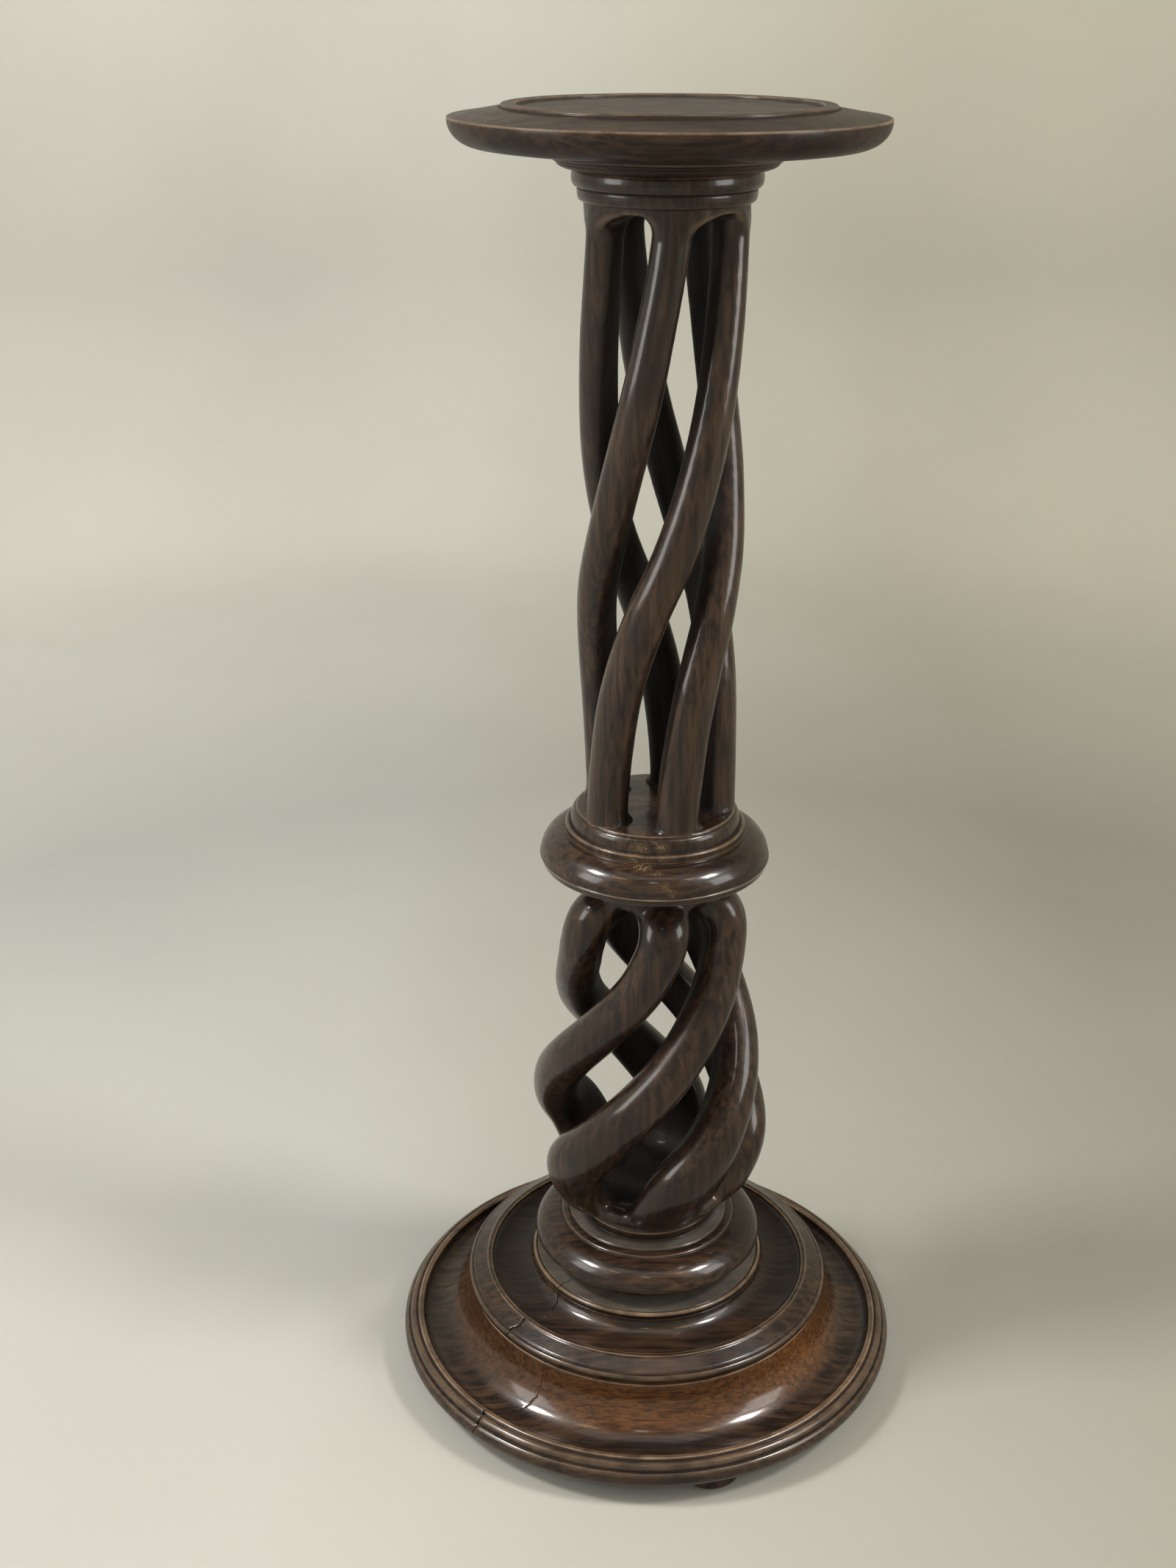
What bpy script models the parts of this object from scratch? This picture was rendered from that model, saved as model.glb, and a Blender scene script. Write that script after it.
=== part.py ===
"""Barley twist pedestal in dark stained oak.

Ten pieces, from the floor up: three bun feet, a wide dished base, a stepped plinth, a turned knop,
an open bulb of five twisted strands, a turned collar, a tall open column of five twisted strands,
and a round top with a raised lip.

Metres, +Z up. The origin is on the floor under the middle of the pedestal, and the front is -Y.
"""
import math

import bmesh
import bpy
import numpy as np

# Driving dimensions of the whole
SEAT_GAP = 0.0003
WIDE_SIDES = 36
SLIM_SIDES = 32
STRANDS = 5
STRAND_CORNERS = 10
COLUMN_STRAND_ROWS = 12
ARCH_ROWS = 3
ARCH_FILL = 0.97
BULB_STRAND_ROWS = 15
STRAND_TENON = 0.0015
HEAD_LAP = 0.0005
FINE_READINGS = 200
SMOOTH_ANGLE = math.radians(38.0)

# Bun feet
FOOT_COUNT = 3
FOOT_FIRST_TURN = math.radians(15.5)
FOOT_INSET = 0.0345
FOOT_HEIGHT = 0.0170
FOOT_RADIUS = 0.0260
FOOT_SOLE_RADIUS = 0.0165
FOOT_TOP_RADIUS = 0.0215
FOOT_SIDES = 14

# Base: a dish inside a moulded rim
BASE_RADIUS = 0.2055
BASE_RIM_HEIGHT = 0.0202
BASE_SOLE_INSET = 0.0060
BASE_SWELL_HEIGHT = 0.0060
BASE_OVOLO_WIDTH = 0.0055
BASE_BAND_WIDTH = 0.0055
BASE_BAND_DROP = 0.0022
BASE_BAND_ROUND = 0.0030
BASE_BEAD_WIDTH = 0.0045
BASE_LIP_ROUND = 0.0014
BASE_DISH_LEVEL = 0.0104
BASE_COVE_WIDTH = 0.0105
BASE_SEAT_HEIGHT = 0.0507
BASE_NECK_HEIGHT = 0.0085
BASE_NECK_FLARE = 0.0008

# Plinth: a lower tier with a cove, and an upper bead with a ledge
PLINTH_RADIUS = 0.1495
PLINTH_BEAD_HEIGHT = 0.0092
PLINTH_BEAD_OVERHANG = 0.0020
PLINTH_BEAD_SHOULDER = 0.0030
PLINTH_BAND_WIDTH = 0.0120
PLINTH_BAND_HEIGHT = 0.0165
PLINTH_LIP_WIDTH = 0.0045
PLINTH_LIP_WALL = 0.0170
PLINTH_COVE_LEVEL = 0.0092
PLINTH_STEP_OVERHANG = 0.0020
PLINTH_LEDGE_WIDTH = 0.0225
PLINTH_LEDGE_HEIGHT = 0.0257
PLINTH_STEP_HEIGHT = 0.0058

# Knop: a cushion ring, a bead, a fillet and a small disc
KNOP_RADIUS = 0.0929
KNOP_SOLE_RADIUS = 0.0725
KNOP_UNDERCUT_RADIUS = 0.0780
KNOP_UNDERCUT_HEIGHT = 0.0085
KNOP_SWELL_HEIGHT = 0.0180
KNOP_CUSHION_HEIGHT = 0.0356
KNOP_BEAD_RADIUS = 0.0718
KNOP_BEAD_HEIGHT = 0.0028
KNOP_BEAD_ROUND = 0.0012
KNOP_FILLET_WIDTH = 0.0075
KNOP_FILLET_RISE = 0.0012
KNOP_DISC_RADIUS = 0.0548
KNOP_HEIGHT = 0.0482

# Open bulb
BULB_HEIGHT = 0.3072
BULB_PATH_RADIUS = 0.0756
BULB_TURN = math.radians(140.0)
BULB_START_TURN = math.radians(-60.0)
BULB_STRAND_SIDE = 0.0180
BULB_STRAND_DEPTH = 0.0172
BULB_NECK_RADIUS = 0.0375
BULB_BOWL_RADIUS = 0.0640
BULB_BOWL_LEVEL = 0.0172
BULB_BOWL_THICKNESS = 0.0105
BULB_BOWL_EDGE_WIDTH = 0.0040
BULB_BOWL_EDGE_DROP = 0.0030
BULB_CROWN_RADIUS = 0.0500
BULB_CROWN_THICKNESS = 0.0236
BULB_CROWN_EDGE = 0.0020
BULB_CROWN_TAPER = 0.0020

# Collar between the bulb and the column
COLLAR_RADIUS = 0.0876
COLLAR_HEIGHT = 0.0281
COLLAR_SWELL_HEIGHT = 0.0085
COLLAR_SOLE_RADIUS = 0.0780

# Open column
COLUMN_PATH_RADIUS = 0.0453
COLUMN_TURN = math.radians(129.5)
COLUMN_START_TURN = math.radians(-53.5)
COLUMN_STRAND_SIDE = 0.0156
COLUMN_STRAND_DEPTH = 0.0146
COLUMN_FOOT_RADIUS = 0.0683
COLUMN_FOOT_BAND_HEIGHT = 0.0062
COLUMN_FOOT_GROOVE_RISE = 0.0012
COLUMN_FOOT_SWELL_RADIUS = 0.0648
COLUMN_FOOT_LIP_RADIUS = 0.0606
COLUMN_FOOT_HEIGHT = 0.0186
COLUMN_HEIGHT = 0.4803
COLUMN_SHAFT_RADIUS = 0.0560
COLUMN_ARCH_DROP = 0.0250
COLUMN_FILLET_RADIUS = 0.0606
COLUMN_FILLET_HEIGHT = 0.0048
COLUMN_RING_RADIUS = 0.0646
COLUMN_RING_HEIGHT = 0.0118
COLUMN_RING_DROP = 0.0053
COLUMN_CAVETTO_HEIGHT = 0.0040

# Round top
TOP_RADIUS = 0.1465
TOP_SEAT_RADIUS = 0.0632
TOP_EDGE_HEIGHT = 0.0320
TOP_EDGE_THICKNESS = 0.0018
TOP_OVOLO_WIDTH = 0.0205
TOP_UNDER_LEVEL = 0.0140
TOP_CREASE_RADIUS = 0.0897
TOP_STEP_RADIUS = 0.0837
TOP_STEP_LEVEL = 0.0102
TOP_SECOND_STEP_RADIUS = 0.0758
TOP_SECOND_STEP_LEVEL = 0.0052
TOP_LIP_RADIUS = 0.1113
TOP_LIP_WIDTH = 0.0108
TOP_LIP_FOOT_WIDTH = 0.0022
TOP_LIP_HEIGHT = 0.0024
TOP_RECESS_DEPTH = 0.0030
TOP_HEIGHT = 0.0407

# Stations of a bulb strand: share of the bulb's height, share of the path radius, share of the
# turn, width factor, depth factor
BULB_STATIONS = (
    (0.056, 0.450, -0.02, 1.10, 0.86),
    (0.074, 0.670, -0.02, 1.28, 0.98),
    (0.121, 0.890, 0.00, 1.40, 1.08),
    (0.193, 0.995, 0.05, 1.35, 1.12),
    (0.281, 1.020, 0.17, 1.19, 1.10),
    (0.388, 0.982, 0.315, 1.06, 1.07),
    (0.495, 0.905, 0.48, 1.00, 1.03),
    (0.609, 0.812, 0.67, 0.98, 1.00),
    (0.720, 0.765, 0.85, 0.99, 0.97),
    (0.800, 0.760, 0.945, 1.01, 0.96),
    (0.852, 0.743, 0.985, 1.02, 0.96),
    (0.886, 0.680, 1.00, 1.04, 0.93),
    (0.908, 0.560, 1.00, 1.05, 0.85),
    (0.918, 0.420, 1.00, 1.02, 0.75),
)

# Stations of a column strand: share of the open height, share of the turn, share of the path
# radius, width factor, depth factor
COLUMN_STATIONS = (
    (0.000, 0.000, 1.008, 1.12, 1.04),
    (0.030, 0.004, 1.008, 1.06, 1.01),
    (0.120, 0.040, 1.006, 1.05, 1.01),
    (0.240, 0.129, 1.004, 1.03, 1.01),
    (0.360, 0.289, 1.004, 1.01, 1.00),
    (0.480, 0.499, 1.006, 0.98, 0.99),
    (0.600, 0.666, 1.006, 0.95, 0.97),
    (0.720, 0.800, 1.000, 0.91, 0.95),
    (0.840, 0.902, 0.990, 0.87, 0.92),
    (0.920, 0.960, 0.978, 0.84, 0.90),
    (1.000, 1.000, 0.970, 0.83, 0.88),
)

# Heights of the seats, from the floor up
BASE_Z = FOOT_HEIGHT + SEAT_GAP
PLINTH_Z = BASE_Z + BASE_SEAT_HEIGHT + SEAT_GAP
KNOP_Z = PLINTH_Z + PLINTH_LEDGE_HEIGHT + SEAT_GAP
BULB_Z = KNOP_Z + KNOP_HEIGHT + SEAT_GAP
COLLAR_Z = BULB_Z + BULB_HEIGHT + SEAT_GAP
COLUMN_Z = COLLAR_Z + COLLAR_HEIGHT + SEAT_GAP
TOP_Z = COLUMN_Z + COLUMN_HEIGHT + SEAT_GAP


def clear_scene():
    """Remove the objects of the open file."""
    for old in list(bpy.data.objects):
        bpy.data.objects.remove(old, do_unlink=True)


def oak(name, colour, roughness):
    """A plain waxed oak of one colour."""
    material = bpy.data.materials.new(name)
    material.use_nodes = True
    shader = material.node_tree.nodes["Principled BSDF"]
    shader.inputs["Base Color"].default_value = (*colour, 1.0)
    shader.inputs["Roughness"].default_value = roughness
    shader.inputs["Metallic"].default_value = 0.0
    return material


def quarter(start, end, first, steps):
    """Points after start on a quarter of an ellipse that leaves start level or upright."""
    points = []
    for i in range(1, steps + 1):
        t = 0.5 * math.pi * i / steps
        if first == "level":
            r = start[0] + (end[0] - start[0]) * math.sin(t)
            z = end[1] + (start[1] - end[1]) * math.cos(t)
        else:
            r = end[0] + (start[0] - end[0]) * math.cos(t)
            z = start[1] + (end[1] - start[1]) * math.sin(t)
        points.append((r, z))
    return points


def turned_mesh(name, profile, height, sides):
    """Spin an outer profile, given top to bottom, about the Z axis and close it with flat ends."""
    bm = bmesh.new()
    line = [bm.verts.new((r, 0.0, height + z)) for r, z in profile]
    edges = [bm.edges.new(pair) for pair in zip(line, line[1:])]
    bmesh.ops.spin(bm, geom=line + edges, cent=(0, 0, 0), axis=(0, 0, 1), angle=math.tau,
                   steps=sides, use_merge=True)
    bmesh.ops.remove_doubles(bm, verts=bm.verts, dist=1e-6)
    rims = [e for e in bm.edges if e.is_boundary]
    bmesh.ops.holes_fill(bm, edges=rims, sides=0)
    bmesh.ops.recalc_face_normals(bm, faces=bm.faces)
    mesh = bpy.data.meshes.new(name)
    bm.to_mesh(mesh)
    bm.free()
    return mesh


def add_object(name, mesh, material, smooth_angle=SMOOTH_ANGLE):
    """Put a mesh in the scene as one named piece."""
    piece = bpy.data.objects.new(name, mesh)
    bpy.context.scene.collection.objects.link(piece)
    mesh.materials.clear()
    mesh.materials.append(material)
    mesh.shade_smooth()
    mesh.set_sharp_from_angle(angle=smooth_angle)
    return piece


def through_stations(stations, positions):
    """Read a smooth curve through the stations at positions counted in stations."""
    table = np.array(stations)
    k = np.minimum(positions.astype(int), len(table) - 2)
    u = (positions - k)[:, None]
    slopes = np.gradient(table, axis=0)
    return (table[k] * (2 * u ** 3 - 3 * u ** 2 + 1) + slopes[k] * (u ** 3 - 2 * u ** 2 + u)
            + table[k + 1] * (3 * u ** 2 - 2 * u ** 3) + slopes[k + 1] * (u ** 3 - u ** 2))


def strand_mesh(name, turn, radius, height, side, depth, squareness, wrap):
    """Carry an oval section along a strand.

    turn, radius and height give the middle of the strand. The section stands square to it, side
    is its half width round the column and depth its half width across the wall. Squareness 2 is
    an ellipse and more is a rounded box. Wrap bends the section round the column's own axis.
    """
    mid_arc = np.gradient(turn) * radius
    out = np.gradient(radius)
    rise = np.gradient(height)
    length = np.sqrt(mid_arc ** 2 + out ** 2 + rise ** 2)
    slant = np.hypot(out, rise)
    normal_out, normal_up = rise / slant, -out / slant
    side_round = slant / length
    side_out = -mid_arc / length * out / slant
    side_up = -mid_arc / length * rise / slant
    corners = STRAND_CORNERS
    angle = math.tau * np.arange(corners) / corners
    power = (2.0 / squareness)[:, None]
    u = side[:, None] * np.sign(np.cos(angle)) * np.abs(np.cos(angle)) ** power
    v = depth[:, None] * np.sign(np.sin(angle)) * np.abs(np.sin(angle)) ** power
    step_out = u * side_out[:, None] + v * normal_out[:, None]
    step_up = u * side_up[:, None] + v * normal_up[:, None]
    step_round = u * side_round[:, None]
    r = radius[:, None] + step_out
    bend = wrap[:, None]
    turn_step = (1 - bend) * np.arctan2(step_round, r) + bend * step_round / radius[:, None]
    r = (1 - bend) * np.hypot(step_round, r) + bend * r
    azimuth = turn[:, None] + turn_step
    points = np.stack([r * np.sin(azimuth), -r * np.cos(azimuth), height[:, None] + step_up], -1)
    rows = len(turn)
    bm = bmesh.new()
    verts = [bm.verts.new(p) for p in points.reshape(-1, 3)]
    for i in range(rows - 1):
        for j in range(corners):
            k = (j + 1) % corners
            bm.faces.new([verts[i * corners + j], verts[i * corners + k],
                          verts[(i + 1) * corners + k], verts[(i + 1) * corners + j]])
    bm.faces.new([verts[j] for j in range(corners)])
    bm.faces.new([verts[(rows - 1) * corners + j] for j in range(corners)])
    bmesh.ops.recalc_face_normals(bm, faces=bm.faces)
    mesh = bpy.data.meshes.new(name)
    bm.to_mesh(mesh)
    bm.free()
    return mesh


def join_members(piece, members):
    """Unite the members, kept as hidden guides, with a piece by one Boolean."""
    group = bpy.data.collections.new(piece.name + "_members")
    bpy.context.scene.collection.children.link(group)
    for i, mesh in enumerate(members):
        guide = bpy.data.objects.new("%s_guide_%d" % (piece.name, i + 1), mesh)
        guide.hide_render = True
        guide.display_type = "WIRE"
        group.objects.link(guide)
    union = piece.modifiers.new("members", "BOOLEAN")
    union.operation = "UNION"
    union.operand_type = "COLLECTION"
    union.collection = group
    union.solver = "EXACT"


def foot_profile():
    """A bun foot, from its top to its sole."""
    top = (FOOT_TOP_RADIUS, FOOT_HEIGHT)
    middle = (FOOT_RADIUS, 0.5 * FOOT_HEIGHT)
    sole = (FOOT_SOLE_RADIUS, 0.0)
    return [top] + quarter(top, middle, "level", 2) + quarter(middle, sole, "upright", 2)


def base_profile():
    """The dished base, from the plinth's seat down to its sole."""
    seat_radius = PLINTH_RADIUS - PLINTH_BEAD_OVERHANG
    neck = (seat_radius + BASE_NECK_FLARE, BASE_SEAT_HEIGHT - BASE_NECK_HEIGHT)
    bead_out = BASE_RADIUS - BASE_OVOLO_WIDTH - BASE_BAND_WIDTH
    bead_in = bead_out - BASE_BEAD_WIDTH
    dish = (bead_in - BASE_COVE_WIDTH, BASE_DISH_LEVEL)
    lip_in = (bead_in, BASE_RIM_HEIGHT - BASE_LIP_ROUND)
    lip_top = (bead_in + 0.5 * BASE_BEAD_WIDTH, BASE_RIM_HEIGHT)
    groove = (bead_out, BASE_RIM_HEIGHT - BASE_BAND_DROP)
    band_top = (bead_out + 0.5 * BASE_BAND_WIDTH, BASE_RIM_HEIGHT - BASE_BAND_DROP)
    band_out = (bead_out + BASE_BAND_WIDTH, BASE_RIM_HEIGHT - BASE_BAND_DROP - BASE_BAND_ROUND)
    widest = (BASE_RADIUS, BASE_SWELL_HEIGHT)
    sole = (BASE_RADIUS - BASE_SOLE_INSET, 0.0)
    return ([(seat_radius, BASE_SEAT_HEIGHT), neck] + quarter(neck, dish, "upright", 4)
            + quarter(dish, lip_in, "level", 2) + [lip_top, groove, band_top]
            + [band_out] + quarter(band_out, widest, "level", 2)
            + quarter(widest, sole, "upright", 2))


def plinth_profile():
    """The two-tiered plinth, from the knop's ledge down to its sole."""
    bead = (PLINTH_RADIUS, 0.5 * PLINTH_BEAD_HEIGHT)
    shoulder = (PLINTH_RADIUS - PLINTH_BEAD_SHOULDER, PLINTH_BEAD_HEIGHT)
    lip_out = (shoulder[0] - PLINTH_BAND_WIDTH, PLINTH_BAND_HEIGHT)
    lip_in = (lip_out[0] - PLINTH_LIP_WIDTH, PLINTH_BAND_HEIGHT)
    step_radius = KNOP_SOLE_RADIUS + PLINTH_LEDGE_WIDTH
    step_low = (step_radius, PLINTH_LEDGE_HEIGHT - PLINTH_STEP_HEIGHT)
    cove = (lip_in[0] - PLINTH_LIP_WALL, PLINTH_COVE_LEVEL)
    sole = (PLINTH_RADIUS - PLINTH_BEAD_OVERHANG, 0.0)
    top = (step_radius - PLINTH_STEP_OVERHANG, PLINTH_LEDGE_HEIGHT)
    return ([top] + quarter(top, (step_radius, PLINTH_LEDGE_HEIGHT - 0.5 * PLINTH_STEP_HEIGHT), "level", 2)
            + [step_low] + quarter(step_low, cove, "upright", 3)
            + quarter(cove, lip_in, "level", 2) + [lip_out, shoulder]
            + quarter(shoulder, bead, "level", 2) + quarter(bead, sole, "upright", 2))


def knop_profile():
    """The knop, from its disc down to its sole."""
    disc = (KNOP_DISC_RADIUS, KNOP_HEIGHT)
    fillet_z = KNOP_CUSHION_HEIGHT + KNOP_BEAD_HEIGHT + KNOP_FILLET_RISE
    fillet = (KNOP_BEAD_RADIUS - KNOP_FILLET_WIDTH, fillet_z)
    bead_top = (KNOP_BEAD_RADIUS - KNOP_BEAD_ROUND, KNOP_CUSHION_HEIGHT + KNOP_BEAD_HEIGHT)
    bead = (KNOP_BEAD_RADIUS, KNOP_CUSHION_HEIGHT + 0.5 * KNOP_BEAD_HEIGHT)
    cushion = (KNOP_BEAD_RADIUS, KNOP_CUSHION_HEIGHT)
    widest = (KNOP_RADIUS, KNOP_SWELL_HEIGHT)
    undercut = (KNOP_UNDERCUT_RADIUS, KNOP_UNDERCUT_HEIGHT)
    disc_foot = (KNOP_DISC_RADIUS, fillet_z)
    return ([disc, disc_foot, fillet, bead_top, bead, cushion]
            + quarter(cushion, widest, "level", 4) + [undercut, (KNOP_SOLE_RADIUS, 0.0)])


def collar_profile():
    """The collar, from the column's seat down to its sole."""
    seat = (COLUMN_FOOT_RADIUS, COLLAR_HEIGHT)
    widest = (COLLAR_RADIUS, COLLAR_SWELL_HEIGHT)
    sole = (COLLAR_SOLE_RADIUS, 0.0)
    return [seat] + quarter(seat, widest, "level", 5) + quarter(widest, sole, "upright", 2)


def column_foot_profile():
    """The disc that the column's strands stand on, from its floor down."""
    lip = (COLUMN_FOOT_LIP_RADIUS, COLUMN_FOOT_HEIGHT)
    groove = (COLUMN_FOOT_SWELL_RADIUS, COLUMN_FOOT_BAND_HEIGHT + COLUMN_FOOT_GROOVE_RISE)
    band = (COLUMN_FOOT_RADIUS, COLUMN_FOOT_BAND_HEIGHT)
    return [lip] + quarter(lip, groove, "level", 3) + [band, (COLUMN_FOOT_RADIUS, 0.0)]


def column_head_profile():
    """The necking above the column's strands, from the top's seat down to the arches."""
    ring_low = COLUMN_HEIGHT - COLUMN_RING_HEIGHT
    fillet_low = ring_low - COLUMN_FILLET_HEIGHT
    seat = (TOP_SEAT_RADIUS, COLUMN_HEIGHT)
    ring = (COLUMN_RING_RADIUS, COLUMN_HEIGHT - COLUMN_RING_DROP)
    fillet = (COLUMN_FILLET_RADIUS, ring_low)
    shaft = (COLUMN_SHAFT_RADIUS, fillet_low - COLUMN_CAVETTO_HEIGHT)
    return ([seat] + quarter(seat, ring, "level", 2) + quarter(ring, fillet, "upright", 3)
            + [(COLUMN_FILLET_RADIUS, fillet_low)]
            + quarter((COLUMN_FILLET_RADIUS, fillet_low), shaft, "level", 2)
            + [(COLUMN_SHAFT_RADIUS, COLUMN_HEIGHT - COLUMN_ARCH_DROP - HEAD_LAP)])


def bulb_bowl_profile():
    """The shallow bowl and neck that a bulb's strands grow from."""
    rim = (BULB_BOWL_RADIUS - BULB_BOWL_EDGE_WIDTH, BULB_BOWL_LEVEL)
    edge = (BULB_BOWL_RADIUS, BULB_BOWL_LEVEL - BULB_BOWL_EDGE_DROP)
    neck = (BULB_NECK_RADIUS, BULB_BOWL_LEVEL - BULB_BOWL_THICKNESS)
    return [rim, edge] + quarter(edge, neck, "upright", 3) + [(BULB_NECK_RADIUS, 0.0)]


def bulb_crown_profile():
    """The disc at the head of the bulb, with a tapered lower edge."""
    low = BULB_HEIGHT - BULB_CROWN_THICKNESS
    return [(BULB_CROWN_RADIUS, BULB_HEIGHT), (BULB_CROWN_RADIUS, low + BULB_CROWN_EDGE),
            (BULB_CROWN_RADIUS - BULB_CROWN_TAPER, low)]


def top_profile():
    """The round top, from the floor of its recess over the lip and rim down to the column."""
    recess = TOP_HEIGHT - TOP_RECESS_DEPTH
    lip_in = TOP_LIP_RADIUS - TOP_LIP_WIDTH
    foot = TOP_LIP_RADIUS + TOP_LIP_FOOT_WIDTH
    edge = (TOP_RADIUS, TOP_EDGE_HEIGHT)
    under_edge = (TOP_RADIUS, TOP_EDGE_HEIGHT - TOP_EDGE_THICKNESS)
    under = (TOP_RADIUS - TOP_OVOLO_WIDTH, TOP_UNDER_LEVEL)
    crease = (TOP_CREASE_RADIUS, 0.5 * (TOP_UNDER_LEVEL + TOP_STEP_LEVEL))
    step = (TOP_STEP_RADIUS, TOP_STEP_LEVEL)
    second = (TOP_SECOND_STEP_RADIUS, TOP_SECOND_STEP_LEVEL)
    seat = (TOP_SEAT_RADIUS, 0.0)
    return ([(lip_in - TOP_RECESS_DEPTH, recess), (lip_in, TOP_HEIGHT), (TOP_LIP_RADIUS, TOP_HEIGHT)]
            + [(foot, TOP_HEIGHT - TOP_LIP_HEIGHT), edge, under_edge]
            + quarter(under_edge, under, "upright", 4) + [crease, step]
            + quarter(step, second, "upright", 2) + [seat])


def bulb_strand(name, number):
    """One strand of the bulb, from the bowl up to the crown."""
    positions = np.linspace(0.0, len(BULB_STATIONS) - 1, BULB_STRAND_ROWS)
    share, radius, turn, width, depth = through_stations(BULB_STATIONS, positions).T
    turn = BULB_START_TURN + BULB_TURN * turn + number * math.tau / STRANDS
    even = np.full(BULB_STRAND_ROWS, 2.0)
    return strand_mesh(name, turn, BULB_PATH_RADIUS * radius, BULB_Z + BULB_HEIGHT * share,
                       BULB_STRAND_SIDE * width, BULB_STRAND_DEPTH * depth, even, 0.0 * even)


def column_strand(name, number):
    """One strand of the column, which widens to meet its neighbours in round arches at the top."""
    floor = COLUMN_Z + COLUMN_FOOT_HEIGHT
    crown = COLUMN_Z + COLUMN_HEIGHT - COLUMN_ARCH_DROP
    half_pitch = math.pi / STRANDS * COLUMN_PATH_RADIUS * COLUMN_STATIONS[-1][2]
    gap = half_pitch - COLUMN_STRAND_SIDE * COLUMN_STATIONS[-1][3]
    spring = 1.0 - gap / (crown - floor)
    arch = np.sin(0.5 * math.pi * np.arange(1, ARCH_ROWS + 1) / ARCH_ROWS)
    shares = np.concatenate([np.linspace(0.0, spring, COLUMN_STRAND_ROWS), spring + (1.0 - spring) * arch])
    arch = np.concatenate([np.zeros(COLUMN_STRAND_ROWS), arch])
    fine = through_stations(COLUMN_STATIONS, np.linspace(0.0, len(COLUMN_STATIONS) - 1, FINE_READINGS)).T
    turn, radius, width, depth = (np.interp(shares, fine[0], row) for row in fine[1:])
    height = floor + (crown - floor) * shares
    side = COLUMN_STRAND_SIDE * width + ARCH_FILL * gap * (1.0 - np.sqrt(1.0 - arch ** 2))
    # The ends run on into the disc below and the necking above
    height[0] -= STRAND_TENON
    height, turn, radius, side, depth, arch = (
        np.append(row, row[-1]) for row in (height, turn, radius, side, depth, arch))
    height[-1] += 2.0 * STRAND_TENON
    turn = COLUMN_START_TURN + COLUMN_TURN * turn + number * math.tau / STRANDS
    return strand_mesh(name, turn, COLUMN_PATH_RADIUS * radius, height, side,
                       COLUMN_STRAND_DEPTH * depth, 2.0 + 3.0 * arch, arch)


def build():
    """Make the ten pieces."""
    clear_scene()
    add_object("top", turned_mesh("top", top_profile(), TOP_Z, WIDE_SIDES),
               oak("top oak", (0.050, 0.034, 0.026), 0.36))
    foot_of_column = turned_mesh("upper_twist", column_foot_profile(), COLUMN_Z, SLIM_SIDES)
    column = add_object("upper_twist", foot_of_column, oak("column oak", (0.045, 0.030, 0.023), 0.34))
    head = turned_mesh("column_head", column_head_profile(), COLUMN_Z, SLIM_SIDES)
    join_members(column, [head] + [column_strand("column_strand_%d" % (i + 1), i) for i in range(STRANDS)])
    add_object("collar", turned_mesh("collar", collar_profile(), COLLAR_Z, SLIM_SIDES),
               oak("collar oak", (0.055, 0.036, 0.026), 0.32))
    bowl = turned_mesh("lower_twist", bulb_bowl_profile(), BULB_Z, SLIM_SIDES)
    bulb = add_object("lower_twist", bowl, oak("bulb oak", (0.046, 0.031, 0.024), 0.33))
    crown = turned_mesh("bulb_crown", bulb_crown_profile(), BULB_Z, SLIM_SIDES)
    join_members(bulb, [crown] + [bulb_strand("bulb_strand_%d" % (i + 1), i) for i in range(STRANDS)])
    add_object("knop", turned_mesh("knop", knop_profile(), KNOP_Z, SLIM_SIDES),
               oak("knop oak", (0.052, 0.036, 0.028), 0.33))
    add_object("plinth", turned_mesh("plinth", plinth_profile(), PLINTH_Z, WIDE_SIDES),
               oak("plinth oak", (0.060, 0.038, 0.027), 0.35))
    add_object("base", turned_mesh("base", base_profile(), BASE_Z, WIDE_SIDES),
               oak("base oak", (0.066, 0.040, 0.027), 0.36))
    foot_mesh = turned_mesh("foot", foot_profile(), 0.0, FOOT_SIDES)
    foot_oak = oak("foot oak", (0.040, 0.027, 0.021), 0.42)
    ring_radius = BASE_RADIUS - FOOT_INSET
    for i in range(FOOT_COUNT):
        turn = FOOT_FIRST_TURN + i * math.tau / FOOT_COUNT
        foot = add_object("foot_%d" % (i + 1), foot_mesh, foot_oak)
        foot.location = (ring_radius * math.sin(turn), -ring_radius * math.cos(turn), 0.0)


build()
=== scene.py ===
"""Looks of a barley twist pedestal in dark stained, waxed oak.

Each piece is a fine surface worked out with numpy: a turned profile carried round the axis, or an
oval section carried along a twisted strand. Azimuths count from the front (-Y) towards +X. Metres,
+Z up, origin on the floor under the middle of the pedestal.
"""
import math

import bpy
import numpy as np
from bpy.props import FloatProperty, FloatVectorProperty, IntProperty, PointerProperty
from mathutils import Matrix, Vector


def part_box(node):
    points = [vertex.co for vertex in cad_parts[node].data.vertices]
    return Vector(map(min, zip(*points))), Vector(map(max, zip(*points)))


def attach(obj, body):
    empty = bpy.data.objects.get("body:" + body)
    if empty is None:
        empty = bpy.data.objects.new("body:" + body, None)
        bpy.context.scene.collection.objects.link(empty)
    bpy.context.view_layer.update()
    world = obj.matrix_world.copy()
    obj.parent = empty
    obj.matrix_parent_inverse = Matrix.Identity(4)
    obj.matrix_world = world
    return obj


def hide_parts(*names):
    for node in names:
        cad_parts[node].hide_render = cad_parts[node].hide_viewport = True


bl_info = {
    "name": "Barley twist pedestal looks",
    "version": (1, 0, 0),
    "blender": (4, 5, 0),
    "location": "3D View > Sidebar > Pedestal",
    "description": "Turns and carves the fine surfaces of a barley twist pedestal and sets its stage",
    "category": "Object",
}

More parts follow.
